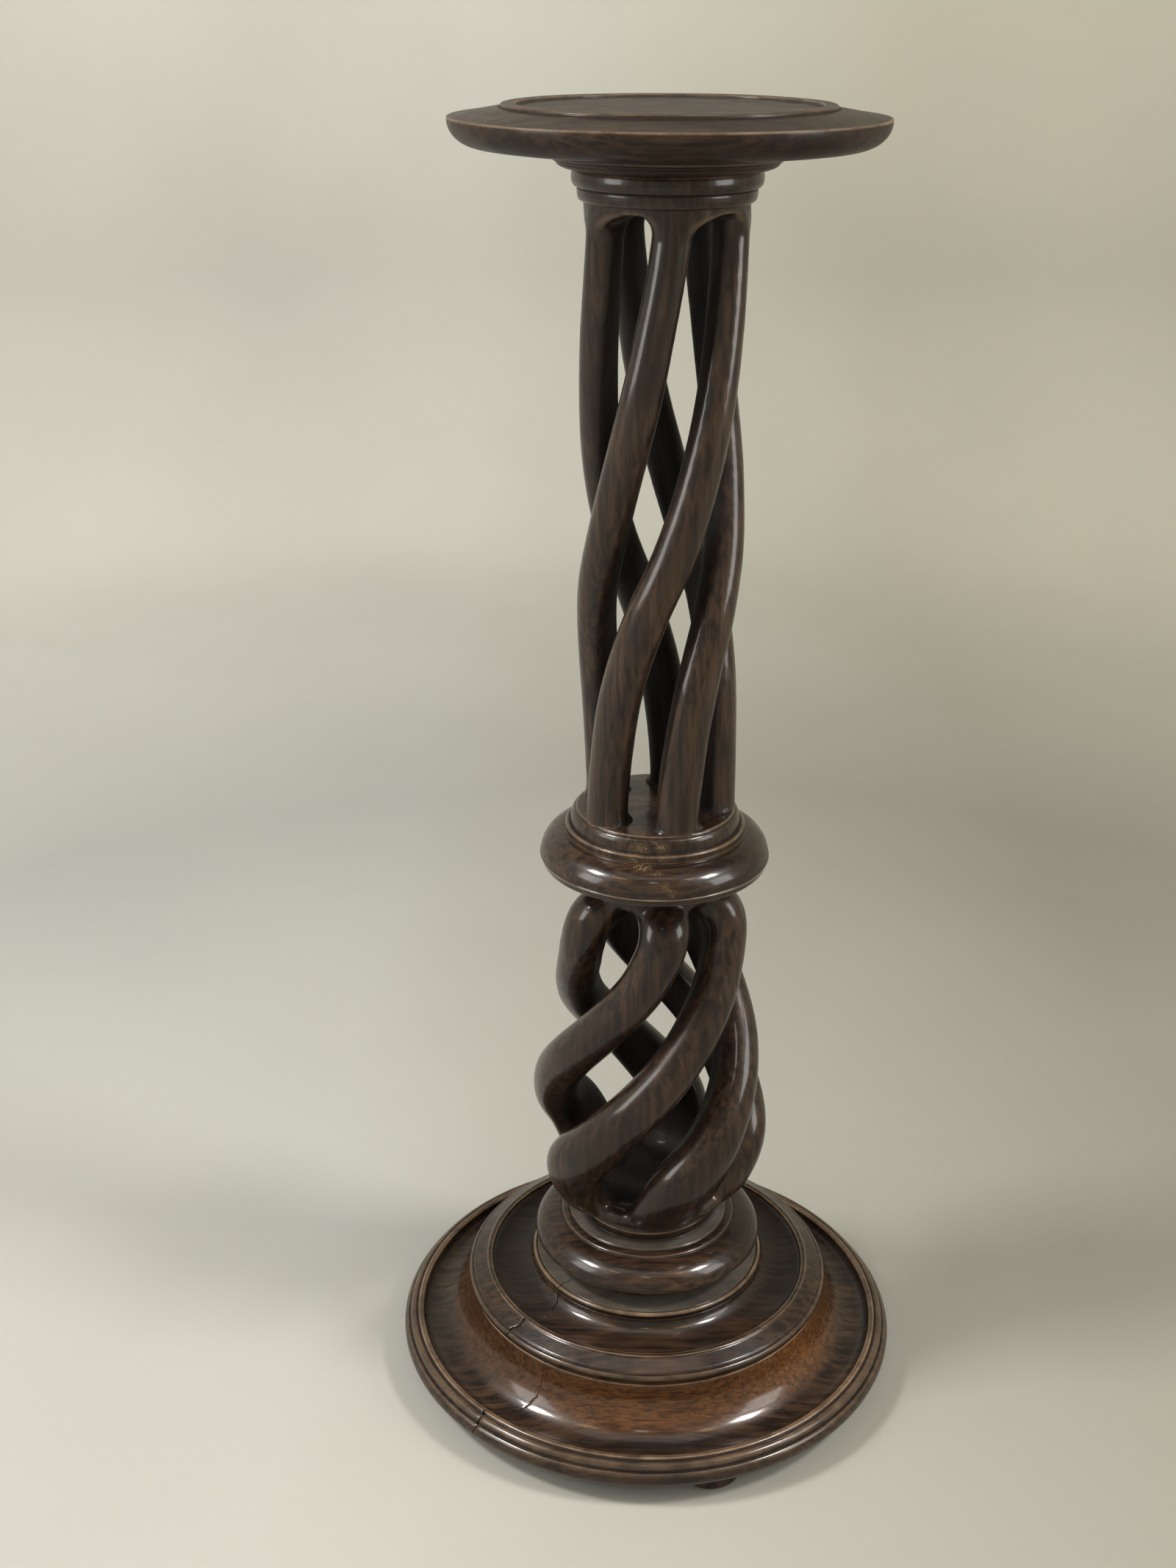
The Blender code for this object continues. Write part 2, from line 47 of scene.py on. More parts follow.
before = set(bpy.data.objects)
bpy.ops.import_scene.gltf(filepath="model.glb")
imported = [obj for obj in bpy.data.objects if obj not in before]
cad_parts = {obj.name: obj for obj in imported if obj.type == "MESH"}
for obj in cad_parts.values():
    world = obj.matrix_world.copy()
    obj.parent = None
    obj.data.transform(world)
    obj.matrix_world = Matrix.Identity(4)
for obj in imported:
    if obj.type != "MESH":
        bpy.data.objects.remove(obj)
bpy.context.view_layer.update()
STRANDS = 5

# The grid beside a crack, in radians from its middle: columns, their half span, the nearest even
# column and the reach over which the others bend back
CRACK_COLUMNS = (-4.0, -2.2, -1.0, -0.5, 0.0, 0.5, 1.0, 2.2, 4.0)
CRACK_SPAN, CRACK_CLEAR, CRACK_REACH = 0.0045, 0.022, 0.30
CRACK_EDGE = 0.0046

# Azimuths where the first strand of each twist starts, and steps round the small turned shells
COLUMN_START, BULB_START = math.radians(-53.5), math.radians(-60.0)
SHELL_COLUMNS, MOULDING_COLUMNS, FOOT_COLUMNS, ROOM_COLUMNS = 160, 192, 96, 96

# Colour of grime in the hollows and of dark cracks, also used for painted shade on faces turned to the axis and at
# the plinth's sides
SOOT_AND_SHADE = (0.0035, 0.0028, 0.0026)
WALL_RADIUS, WALL_HEIGHT, WALL_CURVE = 2.8, 3.2, 0.6
CAMERA_PLACE, CAMERA_ROLL = (-0.05122, -1.31805, 1.07898), 0.0045

# Stations of a bulb strand: share of the bulb's height, share of the path radius, share of the
# turn, width factor, depth factor
BULB_STATIONS = (
    (0.026, 0.400, -0.02, 1.30, 0.50),
    (0.040, 0.600, -0.02, 1.46, 0.64),
    (0.066, 0.765, -0.01, 1.54, 0.82),
    (0.112, 0.890, 0.00, 1.49, 1.02),
    (0.193, 0.995, 0.05, 1.36, 1.12),
    (0.281, 1.020, 0.17, 1.19, 1.10),
    (0.388, 0.982, 0.315, 1.06, 1.07),
    (0.495, 0.905, 0.48, 1.00, 1.03),
    (0.609, 0.812, 0.67, 0.98, 1.00),
    (0.720, 0.765, 0.850, 0.99, 0.97),
    (0.790, 0.761, 0.930, 1.00, 0.96),
    (0.842, 0.748, 0.975, 1.01, 0.96),
    (0.874, 0.712, 0.992, 1.03, 0.95),
    (0.895, 0.645, 1.000, 1.05, 0.91),
    (0.909, 0.550, 1.000, 1.05, 0.84),
    (0.918, 0.440, 1.000, 1.02, 0.75),
    (0.922, 0.340, 1.000, 0.95, 0.66),
)

# Stations of a column strand: share of the open height, share of the turn, share of the path
# radius, width factor, depth factor
COLUMN_STATIONS = (
    (0.000, 0.000, 1.008, 1.12, 1.04),
    (0.030, 0.004, 1.008, 1.06, 1.01),
    (0.120, 0.040, 1.006, 1.05, 1.01),
    (0.240, 0.129, 1.004, 1.03, 1.01),
    (0.360, 0.289, 1.004, 1.01, 1.00),
    (0.480, 0.499, 1.006, 0.98, 0.99),
    (0.600, 0.666, 1.006, 0.95, 0.97),
    (0.720, 0.800, 1.000, 0.91, 0.95),
    (0.840, 0.902, 0.990, 0.87, 0.92),
    (0.920, 0.960, 0.978, 0.84, 0.90),
    (1.000, 1.000, 0.970, 0.83, 0.88),
)

# Scraped spots: azimuth and its half width in degrees, height over the piece's seat and its half, strength
COLUMN_SCARS = (
    (-2.0, 1.6, 0.0148, 0.0011, 1.0),
    (2.5, 4.0, 0.0122, 0.0022, 0.7),
    (-12.0, 6.5, 0.0095, 0.0042, 0.6),
    (-15.0, 1.8, 0.0030, 0.0014, 1.0),
    (-10.0, 7.5, 0.0010, 0.0010, 0.9),
    (4.0, 3.2, 0.0048, 0.0028, 0.8),
)
COLLAR_SCARS = (
    (-9.0, 5.0, 0.0275, 0.0012, 0.9),
    (-1.0, 3.0, 0.0255, 0.0010, 0.6),
    (4.0, 2.0, 0.0180, 0.0030, 0.5),
    (7.0, 2.0, 0.0130, 0.0030, 0.5),
)

# Cracks: radius from the axis, azimuth in degrees, half width and depth in metres
PLINTH_CRACK = (
    (0.0800, -50.6, 0.00042, 0.0016),
    (0.0930, -51.0, 0.00050, 0.0022),
    (0.0956, -50.8, 0.00055, 0.0024),
    (0.0977, -49.7, 0.00045, 0.0020),
    (0.1016, -48.6, 0.00040, 0.0016),
    (0.1063, -48.1, 0.00035, 0.0012),
    (0.1116, -47.3, 0.00025, 0.0006),
    (0.1250, -46.6, 0.00020, 0.0003),
    (0.1290, -48.0, 0.00050, 0.0015),
    (0.1345, -48.7, 0.00070, 0.0030),
    (0.1390, -48.1, 0.00075, 0.0032),
    (0.1456, -49.8, 0.00070, 0.0030),
    (0.1500, -49.9, 0.00040, 0.0014),
)
BASE_CRACK = (
    (0.1490, -35.0, 0.00010, 0.0000),
    (0.1540, -35.2, 0.00010, 0.0000),
    (0.1571, -35.4, 0.00014, 0.0003),
    (0.1605, -36.1, 0.00014, 0.0003),
    (0.1660, -37.5, 0.00010, 0.0000),
    (0.1840, -41.5, 0.00010, 0.0000),
    (0.1890, -42.9, 0.00050, 0.0014),
    (0.1914, -42.8, 0.00060, 0.0026),
    (0.1962, -42.5, 0.00055, 0.0024),
    (0.2019, -42.1, 0.00050, 0.0020),
    (0.2058, -43.0, 0.00025, 0.0008),
)


def a_length(label, text, metres):
    """A length for the panel."""
    return FloatProperty(name=label, description=text, default=metres, unit="LENGTH")


def an_angle(label, text, radians):
    """An angle for the panel."""
    return FloatProperty(name=label, description=text, default=radians, subtype="ANGLE")


def a_power(label, text, watts):
    """A light's power for the panel."""
    return FloatProperty(name=label, description=text, default=watts, unit="POWER")


def a_tint(label, text, rgb):
    """A colour for the panel."""
    return FloatVectorProperty(name=label, description=text, default=rgb, subtype="COLOR", size=3)


class PedestalSizes(bpy.types.PropertyGroup):
    """The sizes that set how the pedestal looks."""

    top_radius: a_length("Top radius", "Radius of the sharp edge of the round top", 0.1465)
    lip_radius: a_length("Top lip radius", "Outer radius of the raised lip round the recess", 0.1113)
    recess_depth: a_length("Recess depth", "How far the top's face lies below its lip", 0.0030)
    column_path: a_length("Column path radius", "Distance of a column strand's middle from the axis", 0.0453)
    column_side: a_length("Column strand half width", "Half the width of a column strand", 0.0156)
    column_depth: a_length("Column strand half depth", "Half the depth of a column strand", 0.0146)
    column_turn: an_angle("Column turn", "How far a column strand turns from foot to head", math.radians(129.5))
    collar_radius: a_length("Collar radius", "Largest radius of the collar", 0.0876)
    bulb_path: a_length("Bulb path radius", "Largest distance of a bulb strand's middle from the axis", 0.0756)
    bulb_side: a_length("Bulb strand half width", "Half the width of a bulb strand", 0.0185)
    bulb_depth: a_length("Bulb strand half depth", "Half the depth of a bulb strand", 0.0177)
    bulb_turn: an_angle("Bulb turn", "How far a bulb strand turns from bowl to crown", math.radians(140.0))
    knop_radius: a_length("Knop radius", "Largest radius of the knop's cushion", 0.0929)
    plinth_radius: a_length("Plinth radius", "Radius of the plinth's lowest bead", 0.1495)
    base_radius: a_length("Base radius", "Largest radius of the base", 0.2055)
    foot_radius: a_length("Foot radius", "Largest radius of a bun foot", 0.0260)
    softness: a_length("Arris softness", "How far each turned edge is worn back", 0.0007)
    hand_wander: a_length("Hand wander", "How far the hand-worked surface strays from true", 0.00022)
    columns: IntProperty(name="Columns round a turning", description="Steps round each turned piece", default=264)
    column_voxel: a_length("Column blend step", "Grid step that melts the column's strands together", 0.00252)
    bulb_voxel: a_length("Bulb blend step", "Grid step that melts the bulb's strands together", 0.00212)


class PedestalFinish(bpy.types.PropertyGroup):
    """The colours and sheen of the stained oak."""

    stain: a_tint("Stain", "Colour of the deep stain", (0.0070, 0.0041, 0.0029))
    grain: a_tint("Grain", "Colour of the lighter grain lines", (0.046, 0.0245, 0.0135))
    worn: a_tint("Worn wood", "Colour where the stain is rubbed through", (0.205, 0.138, 0.085))
    fleck: a_tint("Ray fleck", "Colour of the bright orange figure", (0.150, 0.058, 0.016))
    dust: a_tint("Dust", "Colour of the dust in the top's recess", (0.180, 0.172, 0.145))
    bare: a_tint("Bare wood", "Colour of the scraped patch on the column's foot", (0.40, 0.26, 0.13))
    sheen: FloatProperty(name="Wax roughness", description="Roughness of the wax on clean wood", default=0.31,
                         min=0.0, max=1.0, subtype="FACTOR")


class PedestalStage(bpy.types.PropertyGroup):
    """The plain room, the lights and the camera."""

    paper: a_tint("Backdrop", "Colour of the room's pale floor", (0.295, 0.296, 0.276))
    left_power: a_power("Left light power", "Power of the soft light on the left", 95.0)
    right_power: a_power("Right light power", "Power of the soft light on the right", 76.0)
    lamp_power: a_power("Warm lamp power", "Power of each of the two small warm lamps", 2.2)
    top_power: a_power("Overhead light power", "Power of the soft overhead light", 9.0)
    front_power: a_power("Front light power", "Power of the weak front light, which leaves no highlight", 10.0)
    brow_power: a_power("Brow light power", "Power of the light above the camera, which leaves no highlight", 10.0)
    middle_power: a_power("Middle lamp power", "Power of the small lamp high above the camera", 1.2)
    strip_power: a_power("Strip light power", "Power of each low wide light at the sides", 15.0)
    lens: FloatProperty(name="Focal length", description="Focal length for a frame 36 mm high", default=43.5,
                        unit="CAMERA")
    pitch: an_angle("Camera pitch", "How far the camera looks down", 0.40518)


def through_stations(stations, rows):
    """Read a smooth curve through the stations: cubic Hermite pieces with central slopes."""
    table = np.array(stations)
    position = np.linspace(0.0, len(table) - 1, rows)
    k = np.minimum(position.astype(int), len(table) - 2)
    u = (position - k)[:, None]
    slopes = np.gradient(table, axis=0)
    return (table[k] * (2 * u ** 3 - 3 * u ** 2 + 1) + slopes[k] * (u ** 3 - 2 * u ** 2 + u)
            + table[k + 1] * (3 * u ** 2 - 2 * u ** 3) + slopes[k + 1] * (u ** 3 - u ** 2))


def bend(start, end, first, steps=12):
    """Quarter of an ellipse from start to end, leaving start level or upright, as rows of (r, z)."""
    t = np.linspace(0.0, 0.5 * math.pi, steps)
    (r0, z0), (r1, z1) = start, end
    if first == "level":
        return np.stack([r0 + (r1 - r0) * np.sin(t), z1 + (z0 - z1) * np.cos(t)], 1)
    return np.stack([r1 + (r0 - r1) * np.cos(t), z0 + (z1 - z0) * np.sin(t)], 1)


def joined(*parts):
    """One profile from single points and arrays of points, without repeats."""
    points = np.concatenate([np.atleast_2d(np.array(part, float)) for part in parts])
    keep = np.append(True, np.hypot(*np.diff(points, axis=0).T) > 2e-5)
    return points[keep]


def softened(points, softness, steps=5):
    """Wear every sharp corner of a profile back: a quadratic arc between points set back along its sides."""
    worn = [points[:1]]
    t = np.linspace(0.0, 1.0, steps)[:, None]
    for before, corner, after in zip(points, points[1:], points[2:]):
        a, b = before - corner, after - corner
        la, lb = np.hypot(*a), np.hypot(*b)
        turn = math.pi - math.acos(max(-1.0, min(1.0, float(a @ b) / (la * lb))))
        if turn < math.radians(16.0):
            worn.append(corner[None])
            continue
        p = corner + a / la * min(softness, 0.45 * la)
        q = corner + b / lb * min(softness, 0.45 * lb)
        worn.append((1 - t) ** 2 * p + 2 * t * (1 - t) * corner + t ** 2 * q)
    worn.append(points[-1:])
    return np.concatenate(worn)


def even(points, spacing, border=0.012, thinning=5):
    """Split the long runs of a profile so that no run is longer than the spacing.

    A wide flat is split that finely only near its two ends; farther in, one point in five is kept.
    """
    runs = [points[:1]]
    for a, b in zip(points, points[1:]):
        length = np.hypot(*(b - a))
        count = max(1, int(math.ceil(length / spacing)))
        step = np.arange(1, count + 1)
        from_end = np.minimum(step, count - step) * length / count
        share = step[(from_end < border) | (step % thinning == 0)] / count
        runs.append(a + (b - a) * share[:, None])
    return np.concatenate(runs)


def ripple(azimuth, run, seed, waves=9):
    """Slow unevenness between -1 and 1: a sum of sines of azimuth and run with seeded phases."""
    rng = np.random.default_rng(seed)
    total = 0.0
    for _ in range(waves):
        round_count, along = rng.integers(1, 9), rng.uniform(15.0, 120.0)
        total = total + rng.uniform(0.4, 1.0) * np.sin(round_count * azimuth + along * run + rng.uniform(0, math.tau))
    return total / (0.5 * waves)


def crack_columns(columns, crack):
    """Azimuths of a turned grid, with extra columns close to the crack's mean azimuth."""
    even_turn = np.linspace(-math.pi, math.pi, columns, endpoint=False)
    if crack is None:
        return even_turn
    middle = math.radians(np.mean([row[1] for row in crack]))
    near = np.array(CRACK_COLUMNS) * CRACK_SPAN
    far = even_turn[np.abs(even_turn - middle) > CRACK_CLEAR]
    return np.sort(np.concatenate([far, middle + near]))


def turned_grid(profile, columns, crack=None, wander=0.0, seed=0):
    """Points of a turned surface: a profile carried round Z.

    A crack follows its stations in radius: the columns beside it are pulled to its azimuth, and the
    ones inside its half width are sunk along the profile's inward normal, deepest in the middle.
    """
    turn = crack_columns(columns, crack)
    r, z = profile.T
    run = np.append(0.0, np.cumsum(np.hypot(np.diff(r), np.diff(z))))
    tangent = np.gradient(profile, axis=0)
    tangent /= np.maximum(np.hypot(*tangent.T), 1e-9)[:, None]
    out_r, out_z = -tangent[:, 1], tangent[:, 0]
    azimuth = np.broadcast_to(turn, (len(r), len(turn))).copy()
    sink = np.zeros_like(azimuth)
    if crack is not None:
        stations = np.array(crack)
        middle = math.radians(stations[:, 1].mean())
        on_top = (out_z > -0.3)
        line = np.radians(np.interp(r, stations[:, 0], stations[:, 1]))
        wobble = 0.004 * np.sin(r * 900.0) + 0.003 * np.sin(r * 2300.0 + 1.0)
        width = np.interp(r, stations[:, 0], stations[:, 2])
        depth = np.interp(r, stations[:, 0], stations[:, 3], left=0.0, right=0.0) * on_top
        offset = azimuth - middle
        near = np.clip(1.0 - np.abs(offset) / CRACK_REACH, 0.0, 1.0) ** 2
        squeeze = (width / np.maximum(r, 1e-3) / CRACK_SPAN)[:, None]
        tight = np.where(np.abs(offset) < CRACK_EDGE * 1.05, squeeze, 1.0)
        azimuth = middle + offset * tight + ((line - middle + wobble)[:, None]) * near
        sink = depth[:, None] * np.clip(1.0 - np.abs(offset) / CRACK_EDGE, 0.0, 1.0) ** 0.7
    stray = wander * ripple(azimuth, run[:, None], seed) - sink
    stray *= np.clip(r / 0.02, 0.0, 1.0)[:, None]
    rr = r[:, None] + out_r[:, None] * stray
    zz = z[:, None] + out_z[:, None] * stray
    points = np.stack([rr * np.sin(azimuth), -rr * np.cos(azimuth), zz], -1)
    return points, sink


def edge_wear(profile, reach=0.0009):
    """Convexity of a profile at each point, from -1 in a sharp hollow to 1 on a sharp edge.

    The turning of the profile is smeared over a short reach, so that a worn edge has a soft border.
    """
    step = np.diff(profile, axis=0)
    run = np.append(0.0, np.cumsum(np.hypot(*step.T)))
    heading = np.unwrap(np.arctan2(step[:, 1], step[:, 0]))
    turning = np.append(np.append(0.0, np.diff(heading)), 0.0)
    near = np.exp(-((run[:, None] - run[None]) / reach) ** 2)
    return np.clip(-(near @ turning) / 1.1, -1.0, 1.0)


def fill_mesh(name, points, faces_4, faces_3):
    """A mesh from an array of points, an array of quads and an array of triangles."""
    mesh = bpy.data.meshes.new(name)
    loops = np.concatenate([faces_4.ravel(), faces_3.ravel()]).astype(np.int32)
    starts = np.concatenate([np.arange(len(faces_4)) * 4, len(faces_4) * 4 + np.arange(len(faces_3)) * 3])
    mesh.vertices.add(len(points))
    mesh.vertices.foreach_set("co", points.astype(np.float32).ravel())
    mesh.loops.add(len(loops))
    mesh.loops.foreach_set("vertex_index", loops)
    mesh.polygons.add(len(starts))
    mesh.polygons.foreach_set("loop_start", starts.astype(np.int32))
    mesh.update(calc_edges=True)
    mesh.validate()
    mesh.shade_smooth()
    return mesh


def ring_faces(rows, columns, first=0):
    """Quads between neighbouring rings of a grid, counter-clockwise seen from outside."""
    i = first + np.arange(rows - 1)[:, None] * columns
    j = np.arange(columns)[None]
    k = (j + 1) % columns
    return np.stack([i + j, i + columns + j, i + columns + k, i + k], -1).reshape(-1, 4)


def cap_faces(ring, centre, upward):
    """Triangles from a ring of points to a centre point."""
    after = np.roll(ring, -1)
    fan = np.stack([ring, after, np.full_like(ring, centre)], -1)
    return fan if upward else fan[:, [1, 0, 2]]


def turned_piece(name, profile, columns, crack=None, wander=0.0, seed=0):
    """A closed turned mesh with its wear and crack attributes, from a profile that runs axis to axis."""
    inner = profile[1:-1]
    points, sink = turned_grid(inner, columns, crack, wander, seed)
    rows, count = points.shape[:2]
    flat = points.reshape(-1, 3)
    total = len(flat)
    poles = np.array([[0.0, 0.0, profile[0, 1]], [0.0, 0.0, profile[-1, 1]]])
    top_ring, low_ring = np.arange(count), (rows - 1) * count + np.arange(count)
    caps = np.concatenate([cap_faces(top_ring, total, True), cap_faces(low_ring, total + 1, False)])
    mesh = fill_mesh(name, np.concatenate([flat, poles]), ring_faces(rows, count), caps)
    wear = np.append(np.repeat(edge_wear(inner), count), [0.0, 0.0])
    add_attribute(mesh, "wear", wear)
    add_attribute(mesh, "crack", np.append(np.clip(sink.ravel() / 0.001, 0.0, 1.0), [0.0, 0.0]))
    return mesh


def add_attribute(mesh, name, values):
    """Store one number for each point of a mesh."""
    layer = mesh.attributes.get(name) or mesh.attributes.new(name, "FLOAT", "POINT")
    layer.data.foreach_set("value", np.asarray(values, np.float32).ravel())


def attribute_of(mesh, name):
    """The number stored for each point of a mesh."""
    values = np.empty(len(mesh.vertices))
    mesh.attributes[name].data.foreach_get("value", values)
    return values


def vectors_of(mesh, kind="co"):
    """The place or the normal of each point of a mesh, as rows."""
    values = np.empty(len(mesh.vertices) * 3)
    mesh.vertices.foreach_get(kind, values)
    return values.reshape(-1, 3)


def round_axis(points):
    """Azimuth in degrees and radius of each point."""
    return np.degrees(np.arctan2(points[:, 0], -points[:, 1])), np.hypot(points[:, 0], points[:, 1])


def profile_of(mesh, profile):
    """Radius and height of the profile's point behind each point of a turned mesh, poles last."""
    count = len(mesh.vertices) // (len(profile) - 2)
    return np.concatenate([np.repeat(profile[1:-1], count, axis=0), profile[[0, -1]]]).T


def turned_looks(node, profile, softness, spacing, seed, crack=None):
    """The worn, evenly split profile of a turned node and its mesh."""
    size = bpy.context.scene.pedestal_sizes
    profile = even(softened(profile, softness), spacing)
    return profile, turned_piece(node + "_looks", profile, size.columns, crack, size.hand_wander, seed)


def strand_grid(turn, radius, height, side, depth, squareness, wrap, corners):
    """Carry an oval section along a strand.

    turn, radius and height give the middle of the strand. The section stands square to it, side is
    its half width round the column and depth its half width across the wall. Squareness 2 is an
    ellipse and more is a rounded box. Wrap bends the section round the column's own axis.
    """
    mid_arc = np.gradient(turn) * radius
    out = np.gradient(radius)
    rise = np.gradient(height)
    length = np.sqrt(mid_arc ** 2 + out ** 2 + rise ** 2)
    slant = np.hypot(out, rise)
    normal_out, normal_up = rise / slant, -out / slant
    side_round = slant / length
    side_out = -mid_arc / length * out / slant
    side_up = -mid_arc / length * rise / slant
    angle = math.tau * np.arange(corners) / corners
    power = (2.0 / squareness)[:, None]
    u = side[:, None] * np.sign(np.cos(angle)) * np.abs(np.cos(angle)) ** power
    v = depth[:, None] * np.sign(np.sin(angle)) * np.abs(np.sin(angle)) ** power
    step_out = u * side_out[:, None] + v * normal_out[:, None]
    step_up = u * side_up[:, None] + v * normal_up[:, None]
    step_round = u * side_round[:, None]
    r = radius[:, None] + step_out
    wrapped = wrap[:, None]
    turn_step = (1 - wrapped) * np.arctan2(step_round, r) + wrapped * step_round / radius[:, None]
    r = (1 - wrapped) * np.hypot(step_round, r) + wrapped * r
    azimuth = turn[:, None] + turn_step
    return np.stack([r * np.sin(azimuth), -r * np.cos(azimuth), height[:, None] + step_up], -1)


def tube(points):
    """Points, quads and end triangles of a closed tube through rings of points, bottom ring first."""
    rows, corners = points.shape[:2]
    ends = np.stack([points[0].mean(0), points[-1].mean(0)])
    flat = np.concatenate([points.reshape(-1, 3), ends])
    quads = ring_faces(rows, corners)[:, ::-1]
    low, high = np.arange(corners), (rows - 1) * corners + np.arange(corners)
    caps = np.concatenate([cap_faces(low, len(flat) - 2, False), cap_faces(high, len(flat) - 1, True)])
    return flat, quads, caps


def merged_shells(name, shells):
    """One mesh from several closed shells, each given as points, quads and triangles."""
    first, points, quads, triangles = 0, [], [], []
    for shell_points, shell_quads, shell_triangles in shells:
        points.append(shell_points)
        quads.append(shell_quads + first)
        triangles.append(shell_triangles + first)
        first += len(shell_points)
    return fill_mesh(name, np.concatenate(points), np.concatenate(quads), np.concatenate(triangles))


def turned_shell(profile, columns):
    """Points, quads and triangles of a closed turned shell from a profile that runs axis to axis."""
    inner = profile[1:-1]
    points, _ = turned_grid(inner, columns)
    rows, count = points.shape[:2]
    flat = np.concatenate([points.reshape(-1, 3), [[0.0, 0.0, profile[0, 1]], [0.0, 0.0, profile[-1, 1]]]])
    caps = np.concatenate([cap_faces(np.arange(count), len(flat) - 2, True),
                           cap_faces((rows - 1) * count + np.arange(count), len(flat) - 1, False)])
    return flat, ring_faces(rows, count), caps


def melted(mesh, voxel, smoothing):
    """Melt overlapping shells into one skin on a fine grid, then smooth it, and return the new mesh."""
    working = bpy.data.objects.new(mesh.name + "_working", mesh)
    bpy.context.scene.collection.objects.link(working)
    grid = working.modifiers.new("melt", "REMESH")
    grid.mode = "VOXEL"
    grid.voxel_size = voxel
    smooth = working.modifiers.new("smooth", "SMOOTH")
    smooth.factor = 0.5
    smooth.iterations = smoothing
    depsgraph = bpy.context.evaluated_depsgraph_get()
    skin = bpy.data.meshes.new_from_object(working.evaluated_get(depsgraph), depsgraph=depsgraph)
    bpy.data.objects.remove(working)
    bpy.data.meshes.remove(mesh)
    return skin


def neighbour_mean(values, edges, counts):
    """Mean of each point's neighbours."""
    total = np.zeros_like(values)
    for a, b in ((0, 1), (1, 0)):
        for column in range(values.shape[1]):
            total[:, column] += np.bincount(edges[:, a], values[edges[:, b], column], len(values))
    return total / counts[:, None]


def skin_relief(mesh, spread=4):
    """Points and normals of a melted skin, and how far each point stands proud of its neighbours."""
    points, normals = vectors_of(mesh), vectors_of(mesh, "normal")
    edges = np.empty(len(mesh.edges) * 2, np.int64)
    mesh.edges.foreach_get("vertices", edges)
    counts = np.maximum(np.bincount(edges, minlength=len(points)), 1)
    edges = edges.reshape(-1, 2)
    proud = ((points - neighbour_mean(points, edges, counts)) * normals).sum(1)[:, None]
    for _ in range(spread):
        proud = 0.4 * proud + 0.6 * neighbour_mean(proud, edges, counts)
    return points, normals, proud[:, 0]


def dress(name, mesh, material, node):
    """Put a finished mesh in the scene in place of its CAD node."""
    piece = bpy.data.objects.new(name, mesh)
    bpy.context.scene.collection.objects.link(piece)
    mesh.materials.clear()
    mesh.materials.append(material)
    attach(piece, "root")
    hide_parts(node)
    return piece


class Shader:
    """Short hand for building one material's nodes."""

    def __init__(self, name):
        self.material = bpy.data.materials.new(name)
        self.material.use_nodes = True
        self.tree = self.material.node_tree
        self.surface = self.tree.nodes["Principled BSDF"]
        self.place = self.tree.nodes.new("ShaderNodeTexCoord").outputs["Object"]

    def node(self, kind, **inputs):
        """Add a node and set or link its inputs, given by name with _ for a space or as i and a number."""
        node = self.tree.nodes.new("ShaderNode" + kind)
        for key, value in inputs.items():
            numbered = key[0] == "i" and key[1:].isdigit()
            socket = node.inputs[int(key[1:]) if numbered else key.replace("_", " ")]
            if isinstance(value, bpy.types.NodeSocket):
                self.tree.links.new(value, socket)
            else:
                socket.default_value = value
        return node

    def stretched(self, scale, turn=(0.0, 0.0, 0.0), shift=(0.0, 0.0, 0.0)):
        """The object's own coordinates, turned and scaled."""
        return self.node("Mapping", Vector=self.place, Scale=scale, Rotation=turn, Location=shift).outputs["Vector"]

    def noise(self, vector, scale, detail=4.0, roughness=0.55, distortion=0.0):
        """Fractal noise."""
        return self.node("TexNoise", Vector=vector, Scale=scale, Detail=detail, Roughness=roughness,
                         Distortion=distortion).outputs["Fac"]

    def ramp(self, value, low, high, out_low=0.0, out_high=1.0):
        """A clamped range from low..high to out_low..out_high."""
        return self.node("MapRange", Value=value, From_Min=low, From_Max=high, To_Min=out_low,
                         To_Max=out_high).outputs["Result"]

    def math(self, operation, a, b=0.0):
        """One arithmetic step."""
        node = self.node("Math", i0=a, i1=b)
        node.operation = operation
        return node.outputs["Value"]

    def mix(self, share, a, b):
        """Mix two colours."""
        node = self.tree.nodes.new("ShaderNodeMix")
        node.data_type = "RGBA"
        for socket, value in ((node.inputs[0], share), (node.inputs[6], a), (node.inputs[7], b)):
            if isinstance(value, bpy.types.NodeSocket):
                self.tree.links.new(value, socket)
            else:
                socket.default_value = (*value, 1.0) if len(value) == 3 else value
        return node.outputs[2]

    def attribute(self, name):
        """A number stored on the piece's points."""
        node = self.tree.nodes.new("ShaderNodeAttribute")
        node.attribute_name = name
        return node.outputs["Fac"]

    def finish(self, colour, roughness, height, strength, distance=0.0006, wax=0.0):
        """Wire colour, roughness and bump into the surface."""
        bump = self.node("Bump", Height=height, Strength=strength, Distance=distance)
        self.tree.links.new(colour, self.surface.inputs["Base Color"])
        self.tree.links.new(roughness, self.surface.inputs["Roughness"])
        self.tree.links.new(bump.outputs["Normal"], self.surface.inputs["Normal"])
        self.surface.inputs["Specular IOR Level"].default_value = 0.16
        if isinstance(wax, bpy.types.NodeSocket):
            self.tree.links.new(wax, self.surface.inputs["Coat Weight"])
        self.surface.inputs["Coat Roughness"].default_value = 0.12
        return self.material


